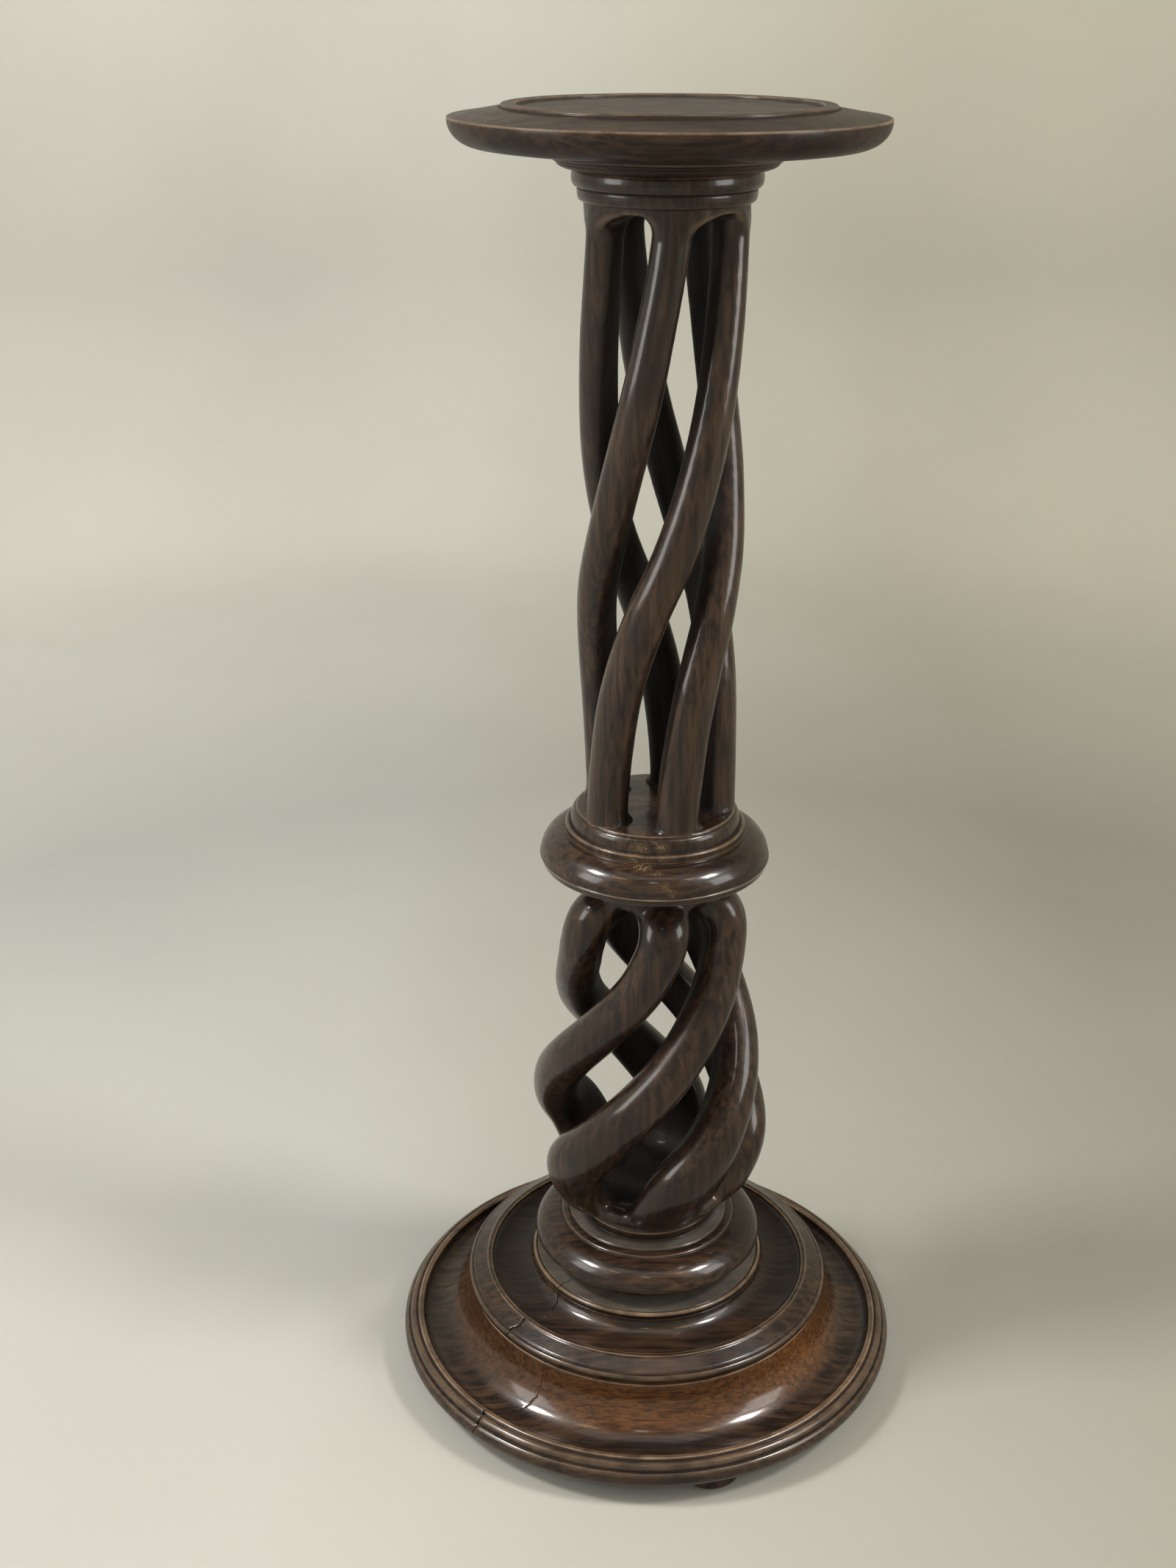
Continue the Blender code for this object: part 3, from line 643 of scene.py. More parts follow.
def stained_oak(name, grain_scale, seed, wear_share=0.6, fleck_share=0.0, dust_share=0.0, bare_share=0.0, wax=0.4):
    """Dark stained, waxed oak: streaks along the grain, lighter worn edges, dark hollows and cracks, the painted
    shade that some pieces store with their cracks, and dust that is partly a painted sheen.
    """
    finish = bpy.context.scene.pedestal_finish
    s = Shader(name)
    shift = (0.37 * seed, 0.61 * seed, 0.23 * seed)
    streaks = s.noise(s.stretched(grain_scale, shift=shift), 1.0, 6.0, 0.62, 0.4)
    pores = s.noise(s.stretched([4.2 * g for g in grain_scale], shift=shift), 1.0, 3.0, 0.7)
    clouds = s.noise(s.stretched((9.0, 9.0, 7.0), shift=shift), 1.0, 3.0, 0.5)
    smudge = s.noise(s.stretched((45.0, 45.0, 30.0), shift=shift), 1.0, 4.0, 0.6)
    light_grain = s.math("MULTIPLY", s.ramp(streaks, 0.40, 0.64), s.ramp(clouds, 0.30, 0.72, 0.15, 1.0))
    colour = s.mix(light_grain, tuple(finish.stain), tuple(finish.grain))
    if fleck_share > 0.0:
        rays = s.noise(s.stretched((70.0, 420.0, 420.0), shift=shift), 1.0, 3.0, 0.6, 0.6)
        band = s.math("MULTIPLY", s.attribute("fleck"), s.ramp(rays, 0.40, 0.66, 0.25, 1.0))
        colour = s.mix(s.math("MULTIPLY", band, fleck_share), colour, tuple(finish.fleck))
    wear = s.attribute("wear")
    rub = s.math("MULTIPLY", s.ramp(wear, 0.32, 0.9), s.ramp(smudge, 0.34, 0.66, 0.30, 1.0))
    colour = s.mix(s.math("MULTIPLY", rub, wear_share), colour, tuple(finish.worn))
    if bare_share > 0.0:
        scrape = s.noise(s.stretched((420.0, 420.0, 1500.0), (0.0, 0.5, 0.0), shift), 1.0, 5.0, 0.75, 1.5)
        patch = s.math("MULTIPLY", s.attribute("bare"), s.ramp(scrape, 0.54, 0.62))
        colour = s.mix(s.math("MULTIPLY", patch, bare_share), colour, tuple(finish.bare))
    hollow = s.ramp(wear, -0.15, -0.8)
    dull = 0.5 * (0.4 - wax)
    # Darkening: grime in the hollows and dark cracks, together with the painted shade that the column, the bulb and
    # the plinth store in the crack attribute; it also dulls the wax
    darkening = s.math("MAXIMUM", s.math("MULTIPLY", hollow, 0.75), s.attribute("crack"))
    colour = s.mix(darkening, colour, SOOT_AND_SHADE)
    roughness = s.ramp(smudge, 0.25, 0.75, finish.sheen - 0.07 + dull, finish.sheen + 0.10 + dull)
    roughness = s.math("ADD", roughness, s.math("MULTIPLY", darkening, 0.35))
    veil = s.ramp(darkening, 0.2, 0.8)
    if dust_share > 0.0:
        film = s.math("MULTIPLY", s.attribute("dust"), s.ramp(smudge, 0.25, 0.65, 0.45, 1.0))
        colour = s.mix(s.math("MULTIPLY", film, dust_share), colour, tuple(finish.dust))
        roughness = s.math("ADD", roughness, s.ramp(film, 0.0, 0.2, 0.0, 0.45))
        veil = s.math("MAXIMUM", veil, s.ramp(film, 0.0, 0.2))
    ridges = s.math("ADD", s.math("MULTIPLY", s.ramp(pores, 0.35, 0.62), 0.55), s.math("MULTIPLY", streaks, 0.9))
    height = s.math("ADD", ridges, s.math("MULTIPLY", smudge, 1.1))
    return s.finish(colour, roughness, height, 0.30, 0.00022, s.ramp(veil, 0.0, 1.0, wax, 0.06 * wax))


def seat_heights():
    """Height of each piece's seat, read from its CAD node's box."""
    return {node: (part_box(node)[0][2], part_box(node)[1][2]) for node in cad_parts}


class PEDESTAL_OT_turn_top(bpy.types.Operator):
    """Turn the round top with its sharp edge, raised lip and dusty recess"""

    bl_idname = "pedestal.turn_top"
    bl_label = "Turn the top"

    def execute(self, context):
        size = context.scene.pedestal_sizes
        low, high = seat_heights()["top"]
        edge, lip = size.top_radius, size.lip_radius
        recess = high - size.recess_depth
        profile = joined(
            (0.0, recess), (lip - 0.0122, recess),
            bend((lip - 0.0122, recess), (lip - 0.0104, recess + 0.0016), "level", 5),
            bend((lip - 0.01, high - 0.0006), (lip - 0.008, high), "upright", 4),
            (lip - 0.0022, high), bend((lip - 0.0022, high), (lip, high - 0.0018), "level", 5),
            bend((lip, high - 0.0018), (lip + 0.0024, high - 0.0028), "upright", 4),
            (edge - 0.0035, high - 0.0078), (edge, high - 0.008), (edge, high - 0.0098),
            bend((edge, high - 0.0098), (edge - 0.0205, low + 0.014), "upright", 16),
            (0.0897, low + 0.0126), (0.089, low + 0.0112), (0.0837, low + 0.0104), (0.083, low + 0.008),
            bend((0.08, low + 0.0072), (0.0768, low + 0.0054), "level", 4), (0.0749, low + 0.0044),
            bend((0.0749, low + 0.0044), (0.0632, low), "upright", 6), (0.0, low))
        profile, mesh = turned_looks("top", profile, size.softness * 0.8, 0.0016, 3)
        r, z = profile_of(mesh, profile)
        add_attribute(mesh, "dust", 0.26 * np.clip((lip - 0.009 - r) / 0.003, 0.0, 1.0) * (z > high - 0.004))
        material = stained_oak("top oak", (18.0, 260.0, 260.0), 1, 0.55, dust_share=0.8, wax=0.12)
        dress("top_looks", mesh, material, "top")
        return {"FINISHED"}


class PEDESTAL_OT_twist_column(bpy.types.Operator):
    """Carve the tall open column: five strands between a turned foot and a turned necking"""

    bl_idname = "pedestal.twist_column"
    bl_label = "Twist the column"

    def execute(self, context):
        size = context.scene.pedestal_sizes
        low, high = seat_heights()["upper_twist"]
        floor, crown = low + 0.0186, high - 0.025
        rows = 210
        share, turned, radius, width, depth = through_stations(COLUMN_STATIONS, rows).T
        path = size.column_path * radius
        side, deep = size.column_side * width, size.column_depth * depth
        height = floor + (crown - floor) * share
        gap = math.pi / STRANDS * path[-1] - side[-1]
        arch = np.clip(1.0 - (crown - height) / gap, 0.0, 1.0)
        side = side + 0.985 * gap * (1.0 - np.sqrt(1.0 - arch ** 2))
        flare = np.clip(1.0 - (height - floor) / 0.004, 0.0, 1.0)
        side, deep = side + 0.0008 * flare ** 2, deep + 0.0006 * flare ** 2
        height[0] -= 0.003
        height, turned, path, side, deep, arch = (
            np.append(row, row[-1]) for row in (height, turned, path, side, deep, arch))
        height[-1] += 0.003
        shells = []
        for number in range(STRANDS):
            turn = COLUMN_START + size.column_turn * turned + number * math.tau / STRANDS
            wobble = 0.0003 * ripple(0.0 * height, height, 40 + number)
            grid = strand_grid(turn, path + wobble, height, side + wobble, deep, 2.0 + 3.0 * arch, arch, 44)
            shells.append(tube(grid))
        shaft = 0.056
        head = joined(
            (0.0, high - 0.006), (0.056, high - 0.006), (0.056, high - 0.017),
            bend((0.0585, high - 0.0172), (shaft, high - 0.021), "level", 6), (shaft, crown - 0.0005),
            (0.0, crown - 0.0005))
        shells.append(turned_shell(even(head, 0.002), SHELL_COLUMNS))
        pad = joined((0.0, floor - 0.0006), (0.059, floor - 0.0006), (0.059, floor - 0.005), (0.0, floor - 0.005))
        shells.append(turned_shell(even(pad, 0.002), SHELL_COLUMNS))
        skin = melted(merged_shells("column_skin", shells), size.column_voxel, 3)
        foot = joined(
            (0.0, floor), (0.0588, floor), bend((0.0588, floor), (0.0604, floor - 0.0012), "level", 4),
            bend((0.0606, floor - 0.0018), (0.0644, floor - 0.0112), "level", 9), (0.0646, floor - 0.0122),
            (0.0668, low + 0.0066), (0.0683, low + 0.0056), (0.0683, low), (0.0, low))
        necking = joined(
            (0.0, high), (0.0632, high), bend((0.0632, high), (0.0646, high - 0.0053), "level", 6),
            bend((0.0646, high - 0.0053), (0.0612, high - 0.0112), "upright", 7), (0.0604, high - 0.012),
            (0.0608, high - 0.013), (0.0606, high - 0.0164),
            bend((0.0604, high - 0.0168), (0.0572, high - 0.0205), "upright", 7), (0.0563, high - 0.0215),
            (0.054, high - 0.022), (0.0, high - 0.022))
        pieces = []
        for label, profile, seed in (("foot", foot, 5), ("necking", necking, 6)):
            fine = even(softened(profile, size.softness), 0.0012)
            pieces.append(turned_piece("column_" + label, fine, MOULDING_COLUMNS, None, size.hand_wander, seed))
        mesh = gathered("column_looks", skin, pieces)
        scars(mesh, COLUMN_SCARS, low)
        material = stained_oak("column oak", (230.0, 230.0, 15.0), 2, 0.55, bare_share=0.8)
        dress("column_looks", mesh, material, "upper_twist")
        return {"FINISHED"}


def gathered(name, skin, pieces):
    """Put a melted skin and crisp turned pieces in one mesh, with their wear, and with painted shade and some grime
    on the skin where it faces the axis or lies close to it.
    """
    points, normals, proud = skin_relief(skin)
    radius = np.hypot(points[:, 0], points[:, 1])
    outward = (normals[:, :2] * points[:, :2]).sum(1) / np.maximum(radius, 1e-4)
    shells = [(points, *mesh_faces(skin))]
    wear = [np.clip(proud / 0.00018 - 0.25, -1.0, 1.0)]
    # Painted shade with some grime: the skin darkens where it faces the axis and close to the axis, between the
    # strands and inside the bowl
    core_shade_and_grime = 0.9 * np.clip((0.052 - radius) / 0.012, 0.0, 1.0)
    shade_and_grime = [np.maximum(0.85 * np.clip(0.35 - 1.3 * outward, 0.0, 1.0), core_shade_and_grime)]
    for piece in pieces:
        shells.append((vectors_of(piece), *mesh_faces(piece)))
        wear.append(attribute_of(piece, "wear"))
        shade_and_grime.append(np.zeros(len(piece.vertices)))
    mesh = merged_shells(name, shells)
    add_attribute(mesh, "wear", np.concatenate(wear))
    add_attribute(mesh, "crack", np.concatenate(shade_and_grime))
    return mesh


def mesh_faces(mesh):
    """The quads and the triangles of a mesh as two arrays."""
    totals = np.empty(len(mesh.polygons), np.int64)
    starts = np.empty(len(mesh.polygons), np.int64)
    loops = np.empty(len(mesh.loops), np.int64)
    mesh.polygons.foreach_get("loop_total", totals)
    mesh.polygons.foreach_get("loop_start", starts)
    mesh.loops.foreach_get("vertex_index", loops)
    quads = loops[starts[totals == 4][:, None] + np.arange(4)]
    triangles = loops[starts[totals == 3][:, None] + np.arange(3)]
    return quads, triangles


def scars(mesh, spots, seat):
    """Mark scraped spots on the front of a piece, with their heights counted from its seat."""
    points = vectors_of(mesh)
    azimuth, radius = round_axis(points)
    bare = np.zeros(len(points))
    for middle, wide, height, tall, strength in spots:
        near = np.exp(-((azimuth - middle) / wide) ** 4 - ((points[:, 2] - (seat + height)) / tall) ** 4)
        bare = np.maximum(bare, strength * near * (radius > 0.058))
    add_attribute(mesh, "bare", bare)


class PEDESTAL_OT_turn_collar(bpy.types.Operator):
    """Turn the collar between the two twists"""

    bl_idname = "pedestal.turn_collar"
    bl_label = "Turn the collar"

    def execute(self, context):
        size = context.scene.pedestal_sizes
        low, high = seat_heights()["collar"]
        wide = size.collar_radius
        profile = joined(
            (0.0, high), (0.0683, high), (0.0685, high - 0.0004),
            bend((0.069, high - 0.0006), (wide - 0.0005, low + 0.0095), "level", 18),
            (wide + 0.0004, low + 0.0086), (wide - 0.0003, low + 0.0079), (wide - 0.0017, low + 0.0034),
            (0.081, low + 0.0008), (0.079, low), (0.0, low))
        _, mesh = turned_looks("collar", profile, size.softness, 0.0014, 8)
        scars(mesh, COLLAR_SCARS, low)
        material = stained_oak("collar oak", (22.0, 240.0, 240.0), 3, 0.8, bare_share=0.8)
        dress("collar_looks", mesh, material, "collar")
        return {"FINISHED"}


class PEDESTAL_OT_twist_bulb(bpy.types.Operator):
    """Carve the open bulb: five strands between a shallow bowl and a crown"""

    bl_idname = "pedestal.twist_bulb"
    bl_label = "Twist the bulb"

    def execute(self, context):
        size = context.scene.pedestal_sizes
        low, high = seat_heights()["lower_twist"]
        rows = 190
        share, radius, turned, width, depth = through_stations(BULB_STATIONS, rows).T
        path, height = size.bulb_path * radius, low + (high - low) * share
        shells = []
        for number in range(STRANDS):
            turn = BULB_START + size.bulb_turn * turned + number * math.tau / STRANDS
            wobble = 0.0004 * ripple(0.0 * height, height, 70 + number)
            grid = strand_grid(turn, path + wobble, height, size.bulb_side * width + wobble, size.bulb_depth * depth,
                               np.full(rows, 2.2), np.zeros(rows), 48)
            shells.append(tube(grid))
        bowl = joined(
            (0.0, low + 0.0172), (0.042, low + 0.0173), (0.048, low + 0.0184), (0.054, low + 0.0212),
            bend((0.06, low + 0.0236), (0.0682, low + 0.016), "level", 12),
            bend((0.0682, low + 0.016), (0.0375, low + 0.004), "upright", 16), (0.0375, low + 0.001),
            (0.0, low + 0.001))
        crown = joined(
            (0.0, high - 0.001), (0.05, high - 0.001), (0.0494, high - 0.0222), (0.0478, high - 0.0236),
            (0.0, high - 0.0236))
        shells += [turned_shell(even(profile, 0.002), SHELL_COLUMNS) for profile in (bowl, crown)]
        skin = melted(merged_shells("bulb_skin", shells), size.bulb_voxel, 18)
        pieces = []
        neck = joined((0.0, low + 0.003), (0.0372, low + 0.003), (0.0372, low), (0.0, low))
        disc = joined((0.0, high), (0.0502, high), (0.0502, high - 0.002), (0.0, high - 0.002))
        for label, profile, seed in (("neck", neck, 9), ("disc", disc, 10)):
            fine = even(softened(profile, 0.5 * size.softness), 0.0016)
            pieces.append(turned_piece("bulb_" + label, fine, SHELL_COLUMNS, None, 0.0, seed))
        mesh = gathered("bulb_looks", skin, pieces)
        material = stained_oak("bulb oak", (210.0, 210.0, 14.0), 4, 0.55)
        dress("bulb_looks", mesh, material, "lower_twist")
        return {"FINISHED"}


class PEDESTAL_OT_turn_knop(bpy.types.Operator):
    """Turn the knop: a cushion ring, two beads, a fillet and a small disc"""

    bl_idname = "pedestal.turn_knop"
    bl_label = "Turn the knop"

    def execute(self, context):
        size = context.scene.pedestal_sizes
        low, high = seat_heights()["knop"]
        wide = size.knop_radius
        profile = joined(
            (0.0, high), (0.054, high), bend((0.054, high), (0.0549, high - 0.0009), "level", 4),
            (0.0548, high - 0.003), bend((0.0542, high - 0.006), (0.0562, high - 0.0081), "upright", 5),
            (0.064, high - 0.0085), (0.0648, high - 0.0092), (0.0653, high - 0.0099),
            bend((0.066, high - 0.0098), (0.0714, high - 0.0116), "level", 7), (0.0717, high - 0.0122),
            bend((0.0723, high - 0.0126), (wide, low + 0.019), "level", 18), (wide, low + 0.0182),
            (wide - 0.0008, low + 0.0172), (0.084, low + 0.0118), (0.078, low + 0.0082), (0.0745, low + 0.004),
            (0.073, low), (0.0, low))
        profile, mesh = turned_looks("knop", profile, size.softness, 0.0014, 11)
        r, z = profile_of(mesh, profile)
        disc = np.clip((0.0542 - r) / 0.0008, 0.0, 1.0) * (z > high - 0.0012)
        fillet = np.exp(-((r - 0.06) / 0.0045) ** 4 - ((z - high + 0.0083) / 0.001) ** 2)
        add_attribute(mesh, "dust", disc + 0.35 * fillet)
        material = stained_oak("knop oak", (22.0, 230.0, 230.0), 5, 0.6, dust_share=0.9)
        dress("knop_looks", mesh, material, "knop")
        return {"FINISHED"}


class PEDESTAL_OT_turn_plinth(bpy.types.Operator):
    """Turn the stepped plinth and open its crack"""

    bl_idname = "pedestal.turn_plinth"
    bl_label = "Turn the plinth"

    def execute(self, context):
        size = context.scene.pedestal_sizes
        low, high = seat_heights()["plinth"]
        wide = size.plinth_radius
        lip = wide - 0.015
        profile = joined(
            (0.0, high), (0.0916, high), (0.0922, high - 0.0007), (0.0928, high - 0.0002),
            bend((0.0932, high), (0.0954, high - 0.0022), "level", 6),
            bend((0.0952, high - 0.0024), (0.0944, high - 0.0052), "upright", 5), (0.0948, high - 0.006),
            bend((0.095, high - 0.006), (0.113, low + 0.0095), "upright", 14),
            bend((0.113, low + 0.0095), (lip - 0.0046, low + 0.0158), "level", 10),
            bend((lip - 0.0046, low + 0.0158), (lip - 0.003, low + 0.0166), "upright", 4),
            (lip - 0.0008, low + 0.0167), (lip, low + 0.0162), (lip + 0.0008, low + 0.0152),
            (wide - 0.0042, low + 0.01), (wide - 0.0034, low + 0.0088),
            bend((wide - 0.003, low + 0.0088), (wide, low + 0.0056), "level", 7),
            bend((wide, low + 0.0056), (wide - 0.0018, low + 0.0012), "upright", 6), (wide - 0.0022, low),
            (0.0, low))
        profile, mesh = turned_looks("plinth", profile, size.softness, 0.0013, 12, PLINTH_CRACK)
        r, z = profile_of(mesh, profile)
        # Dust and painted light: the ledge under the knop's overhang is lightened where the knop shades it
        add_attribute(mesh, "dust", 0.5 * np.clip((0.092 - r) / 0.0008, 0.0, 1.0) * (z > high - 0.0009))
        # Painted shade: the cove darkens towards both sides, away from the front, and is stored with the crack
        azimuth, _ = round_axis(vectors_of(mesh))
        aside = np.abs(azimuth - 8.0)
        cove = np.clip((r - 0.095) / 0.003, 0.0, 1.0) * np.clip((0.13 - r) / 0.003, 0.0, 1.0)
        darkening = 0.62 * cove * np.clip((aside - 30.0) / 30.0, 0.0, 1.0)
        add_attribute(mesh, "crack", np.maximum(attribute_of(mesh, "crack"), darkening))
        material = stained_oak("plinth oak", (20.0, 210.0, 210.0), 6, 0.8, dust_share=0.6)
        dress("plinth_looks", mesh, material, "plinth")
        return {"FINISHED"}


class PEDESTAL_OT_turn_base(bpy.types.Operator):
    """Turn the wide dished base with its moulded rim"""

    bl_idname = "pedestal.turn_base"
    bl_label = "Turn the base"

    def execute(self, context):
        size = context.scene.pedestal_sizes
        low, high = seat_heights()["base"]
        wide = size.base_radius
        bead = wide - 0.011
        profile = joined(
            (0.0, high), (0.1472, high), (0.1476, high - 0.0006), (0.1483, high - 0.009),
            bend((0.1483, high - 0.009), (0.179, low + 0.0103), "upright", 22),
            bend((0.179, low + 0.0103), (bead - 0.0058, low + 0.018), "level", 12),
            bend((bead - 0.0058, low + 0.018), (bead - 0.0036, low + 0.0202), "upright", 5),
            bend((bead - 0.0024, low + 0.0202), (bead - 0.0006, low + 0.0186), "level", 5),
            (bead + 0.0002, low + 0.018), (bead + 0.0012, low + 0.0184),
            bend((bead + 0.0016, low + 0.0184), (bead + 0.006, low + 0.014), "level", 9),
            (bead + 0.0061, low + 0.0132), bend((bead + 0.0063, low + 0.013), (wide, low + 0.006), "level", 12),
            bend((wide, low + 0.006), (wide - 0.006, low), "upright", 8), (0.0, low))
        _, mesh = turned_looks("base", profile, size.softness, 0.0014, 13, BASE_CRACK)
        points = vectors_of(mesh)
        (azimuth, r), z = round_axis(points), points[:, 2]
        band = np.clip((0.168 - r) / 0.012, 0.0, 1.0) * (z > low + 0.012)
        side = 0.35 + 0.65 * np.exp(-((azimuth - 50.0) / 26.0) ** 2) + 0.35 * np.exp(-((azimuth + 8.0) / 26.0) ** 2)
        add_attribute(mesh, "fleck", np.clip(band * side, 0.0, 1.0))
        rim = np.clip((r - 0.185) / 0.004, 0.0, 1.0) * (z > low + 0.001)
        add_attribute(mesh, "wear", attribute_of(mesh, "wear") + 0.14 * rim)
        material = stained_oak("base oak", (18.0, 200.0, 200.0), 7, 0.85, fleck_share=0.7)
        dress("base_looks", mesh, material, "base")
        return {"FINISHED"}


class PEDESTAL_OT_turn_feet(bpy.types.Operator):
    """Turn the three bun feet"""

    bl_idname = "pedestal.turn_feet"
    bl_label = "Turn the feet"

    def execute(self, context):
        size = context.scene.pedestal_sizes
        material = stained_oak("foot oak", (120.0, 120.0, 20.0), 8, 0.4, wax=0.1)
        for number in (1, 2, 3):
            node = "foot_%d" % number
            (x0, y0, low), (x1, y1, high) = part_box(node)
            middle, wide = 0.5 * (low + high), size.foot_radius
            profile = joined(
                (0.0, high), (wide - 0.0045, high), bend((wide - 0.0045, high), (wide, middle), "level", 12),
                bend((wide, middle), (wide - 0.0095, low), "upright", 12), (0.0, low))
            fine = even(softened(profile, 0.0006), 0.0012)
            mesh = turned_piece(node + "_looks", fine, FOOT_COLUMNS, None, 0.0, number)
            mesh.transform(Matrix.Translation((0.5 * (x0 + x1), 0.5 * (y0 + y1), 0.0)))
            dress(node + "_looks", mesh, material, node)
        return {"FINISHED"}


class PEDESTAL_OT_set_stage(bpy.types.Operator):
    """Build the pale round room, hang the soft lights and place the camera"""

    bl_idname = "pedestal.set_stage"
    bl_label = "Set the stage"

    def execute(self, context):
        stage = context.scene.pedestal_stage
        curve = bend((WALL_RADIUS - WALL_CURVE, 0.0), (WALL_RADIUS, WALL_CURVE), "level", 16)
        room = joined((0.6, 0.0), (1.4, 0.0), curve, (WALL_RADIUS, WALL_HEIGHT))
        points, _ = turned_grid(room, ROOM_COLUMNS)
        flat = np.concatenate([points.reshape(-1, 3), [[0.0, 0.0, 0.0]]])
        middle = cap_faces(np.arange(ROOM_COLUMNS), len(flat) - 1, True)
        mesh = fill_mesh("backdrop", flat, ring_faces(len(room), ROOM_COLUMNS), middle)
        backdrop = bpy.data.objects.new("backdrop", mesh)
        context.scene.collection.objects.link(backdrop)
        s = Shader("pale board with painted light")
        # Painted light on the backdrop: brighter on the wall than on the floor near the pedestal, dimmer up to half a
        # metre and brighter above, and darker and warmer towards +X; the mottle is random
        mottle = s.noise(s.stretched((1.6, 1.6, 1.6)), 1.0, 3.0, 0.5)
        grit = s.noise(s.stretched((160.0, 160.0, 160.0)), 1.0, 4.0, 0.6)
        place = s.node("SeparateXYZ", Vector=s.place).outputs
        away = s.math("POWER", s.math("ADD", s.math("MULTIPLY", place["X"], place["X"]),
                                      s.math("MULTIPLY", place["Y"], place["Y"])), 0.5)
        painted_wall_light = s.math("ADD", s.ramp(away, 1.2, 2.2, 1.0, 1.7), s.ramp(place["Z"], 0.05, 0.5, 0.0, -0.25))
        painted_light = s.math("ADD", painted_wall_light, s.ramp(place["Z"], 0.5, 1.0, 0.0, 0.3))
        painted_falloff = s.ramp(place["X"], -0.3, 0.55)
        shade = s.math("MULTIPLY", painted_falloff, s.ramp(away, 1.0, 2.2, 0.39, 0.21))
        shade_and_mottle = s.math("MULTIPLY", s.math("SUBTRACT", 1.0, shade), s.ramp(mottle, 0.3, 0.7, 0.95, 1.04))
        painted_light = s.math("MULTIPLY", painted_light, shade_and_mottle)
        full = 2.5
        cool = tuple(full * c for c in stage.paper)
        warm = (cool[0], 0.965 * cool[1], 0.87 * cool[2])
        colour = s.mix(s.math("MULTIPLY", painted_light, 1.0 / full), (0.0, 0.0, 0.0), s.mix(painted_falloff, cool, warm))
        mesh.materials.append(s.finish(colour, s.ramp(grit, 0.3, 0.7, 0.55, 0.7), grit, 0.15, 0.0005))

        aim = np.array([0.0, 0.0, 0.45])
        white, amber = (1.0, 0.975, 0.93), (1.0, 0.6, 0.24)
        for name, place, wide, tall, power, colour, shines in (
                ("left light", (-1.89, -0.4, 2.6), 0.6, 0.45, stage.left_power, white, True),
                ("right light", (1.82, -0.63, 2.6), 0.6, 0.45, stage.right_power, white, True),
                ("overhead light", (0.0, -0.35, 2.7), 1.6, 1.2, stage.top_power, white, True),
                ("front light", (0.25, -2.1, 0.55), 1.0, 0.8, stage.front_power, white, False),
                ("brow light", (0.1, -1.9, 1.7), 1.0, 0.5, stage.brow_power, white, False),
                ("middle lamp", (-0.06, -1.25, 2.1), 0.22, 0.14, stage.middle_power, white, True),
                ("left strip", (-1.58, -0.64, 1.1), 0.7, 0.8, stage.strip_power, white, True),
                ("right strip", (1.58, -0.64, 1.1), 0.7, 0.8, stage.strip_power, white, True),
                ("left lamp", (-0.85, -0.78, 2.15), 0.34, 0.2, stage.lamp_power, amber, True),
                ("right lamp", (0.86, -0.76, 2.15), 0.26, 0.2, stage.lamp_power, amber, True)):
            lamp = bpy.data.lights.new(name, "AREA")
            lamp.shape = "RECTANGLE"
            lamp.size, lamp.size_y, lamp.energy = wide, tall, power
            lamp.color = colour
            holder = bpy.data.objects.new(name, lamp)
            holder.visible_glossy, holder.visible_camera = shines, False
            context.scene.collection.objects.link(holder)
            back = np.array(place) - aim
            back /= np.linalg.norm(back)
            side = np.cross((0.0, 0.0, 1.0), back)
            side /= np.linalg.norm(side)
            up = np.cross(back, side)
            rows = [[side[i], up[i], back[i], place[i]] for i in range(3)]
            holder.matrix_world = Matrix(rows + [[0.0, 0.0, 0.0, 1.0]])

        world = bpy.data.worlds.new("room")
        world.use_nodes = True
        world.node_tree.nodes["Background"].inputs["Color"].default_value = (0.8, 0.8, 0.78, 1.0)
        world.node_tree.nodes["Background"].inputs["Strength"].default_value = 0.05
        context.scene.world = world
        context.scene.view_settings.view_transform = "Standard"

        camera = bpy.data.cameras.new("camera")
        camera.sensor_fit = "VERTICAL"
        camera.sensor_height = 36.0
        camera.lens = stage.lens
        eye = bpy.data.objects.new("camera", camera)
        context.scene.collection.objects.link(eye)
        aimed = Matrix.Rotation(0.5 * math.pi - stage.pitch, 4, "X") @ Matrix.Rotation(CAMERA_ROLL, 4, "Z")
        eye.matrix_world = Matrix.Translation(CAMERA_PLACE) @ aimed
        context.scene.camera = eye
        return {"FINISHED"}


class PEDESTAL_PT_panel(bpy.types.Panel):
    """Sizes, colours and steps of the pedestal"""

    bl_idname = "PEDESTAL_PT_panel"
    bl_label = "Barley twist pedestal"
    bl_space_type = "VIEW_3D"
    bl_region_type = "UI"
    bl_category = "Pedestal"

    def draw(self, context):
        for group in (context.scene.pedestal_sizes, context.scene.pedestal_finish, context.scene.pedestal_stage):
            box = self.layout.box()
            for key in group.bl_rna.properties.keys():
                if key not in ("rna_type", "name"):
                    box.prop(group, key)
        for step in STEPS:
            self.layout.operator(step.bl_idname)


STEPS = (PEDESTAL_OT_turn_top, PEDESTAL_OT_twist_column, PEDESTAL_OT_turn_collar, PEDESTAL_OT_twist_bulb,
         PEDESTAL_OT_turn_knop, PEDESTAL_OT_turn_plinth, PEDESTAL_OT_turn_base, PEDESTAL_OT_turn_feet,
         PEDESTAL_OT_set_stage)
GROUPS = (PedestalSizes, PedestalFinish, PedestalStage)


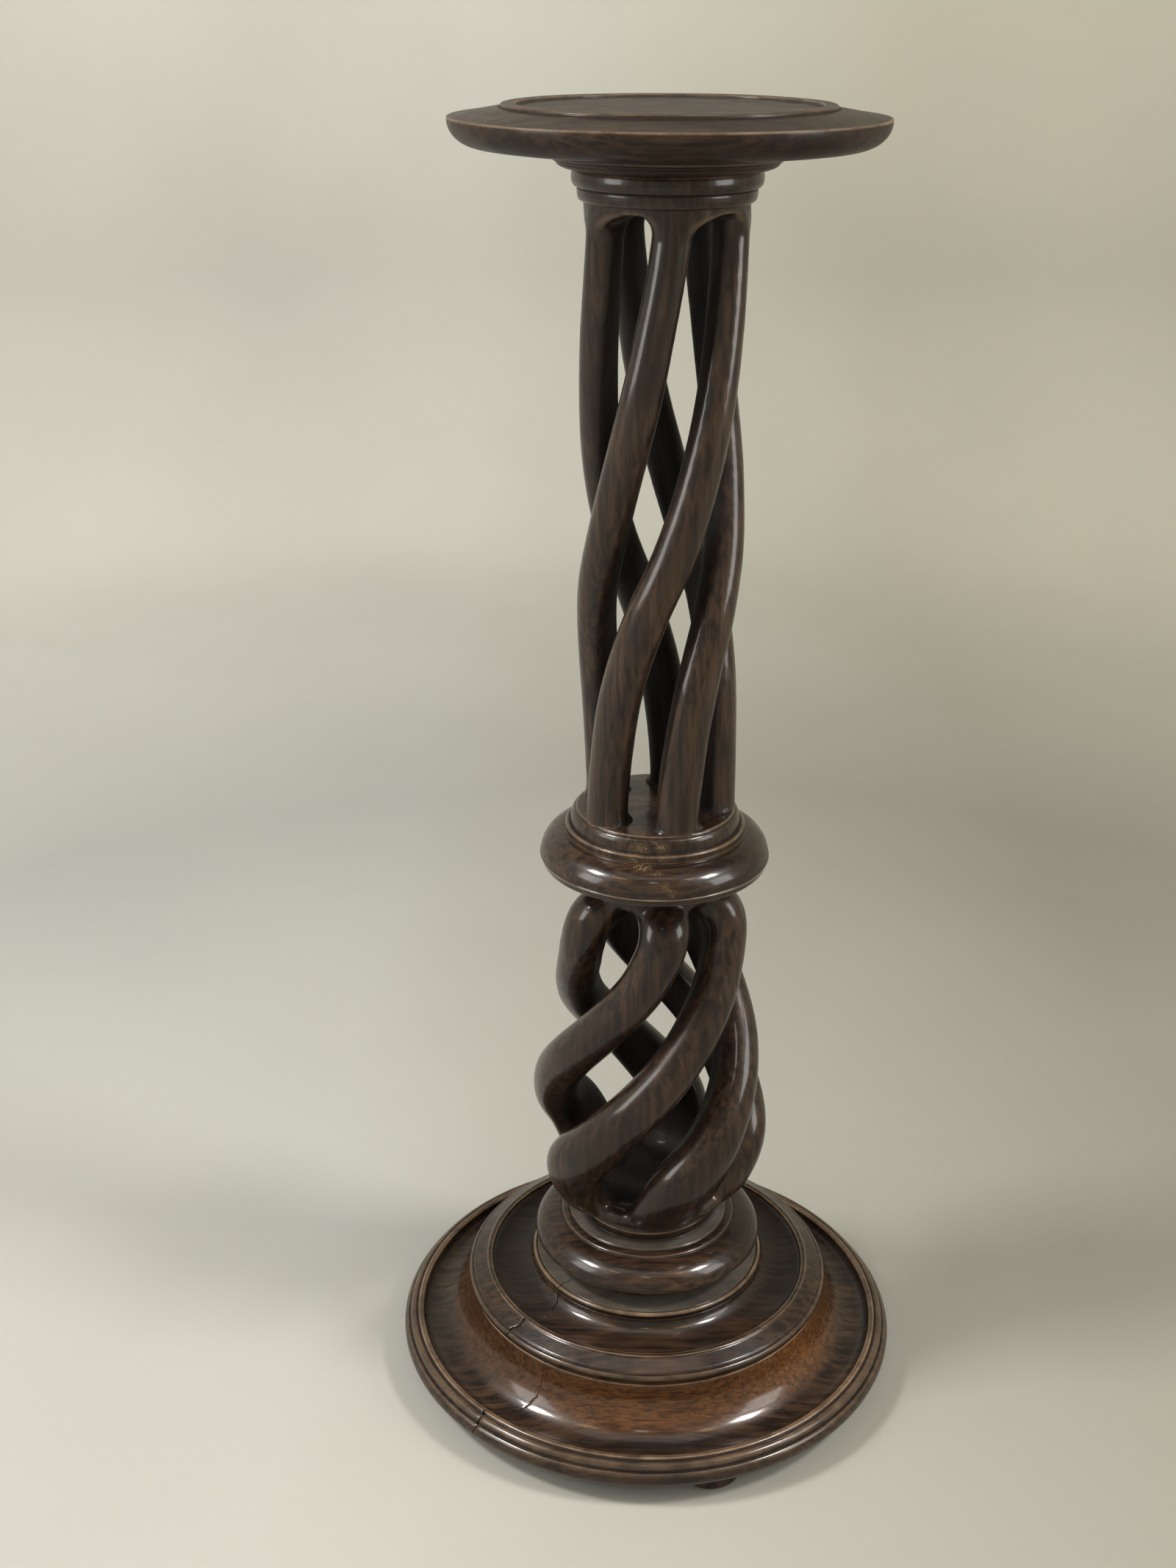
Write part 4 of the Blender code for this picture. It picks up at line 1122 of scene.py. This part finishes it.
def register():
    """Make the groups, steps and panel known to Blender."""
    for kind in (*GROUPS, *STEPS, PEDESTAL_PT_panel):
        bpy.utils.register_class(kind)
    bpy.types.Scene.pedestal_sizes = PointerProperty(type=PedestalSizes)
    bpy.types.Scene.pedestal_finish = PointerProperty(type=PedestalFinish)
    bpy.types.Scene.pedestal_stage = PointerProperty(type=PedestalStage)


def unregister():
    """Take them away again."""
    del bpy.types.Scene.pedestal_sizes, bpy.types.Scene.pedestal_finish, bpy.types.Scene.pedestal_stage
    for kind in reversed((*GROUPS, *STEPS, PEDESTAL_PT_panel)):
        bpy.utils.unregister_class(kind)


def main():
    """Run every step in order."""
    register()
    for step in STEPS:
        getattr(bpy.ops.pedestal, step.bl_idname.split(".")[1])()


if __name__ == "__main__":
    main()
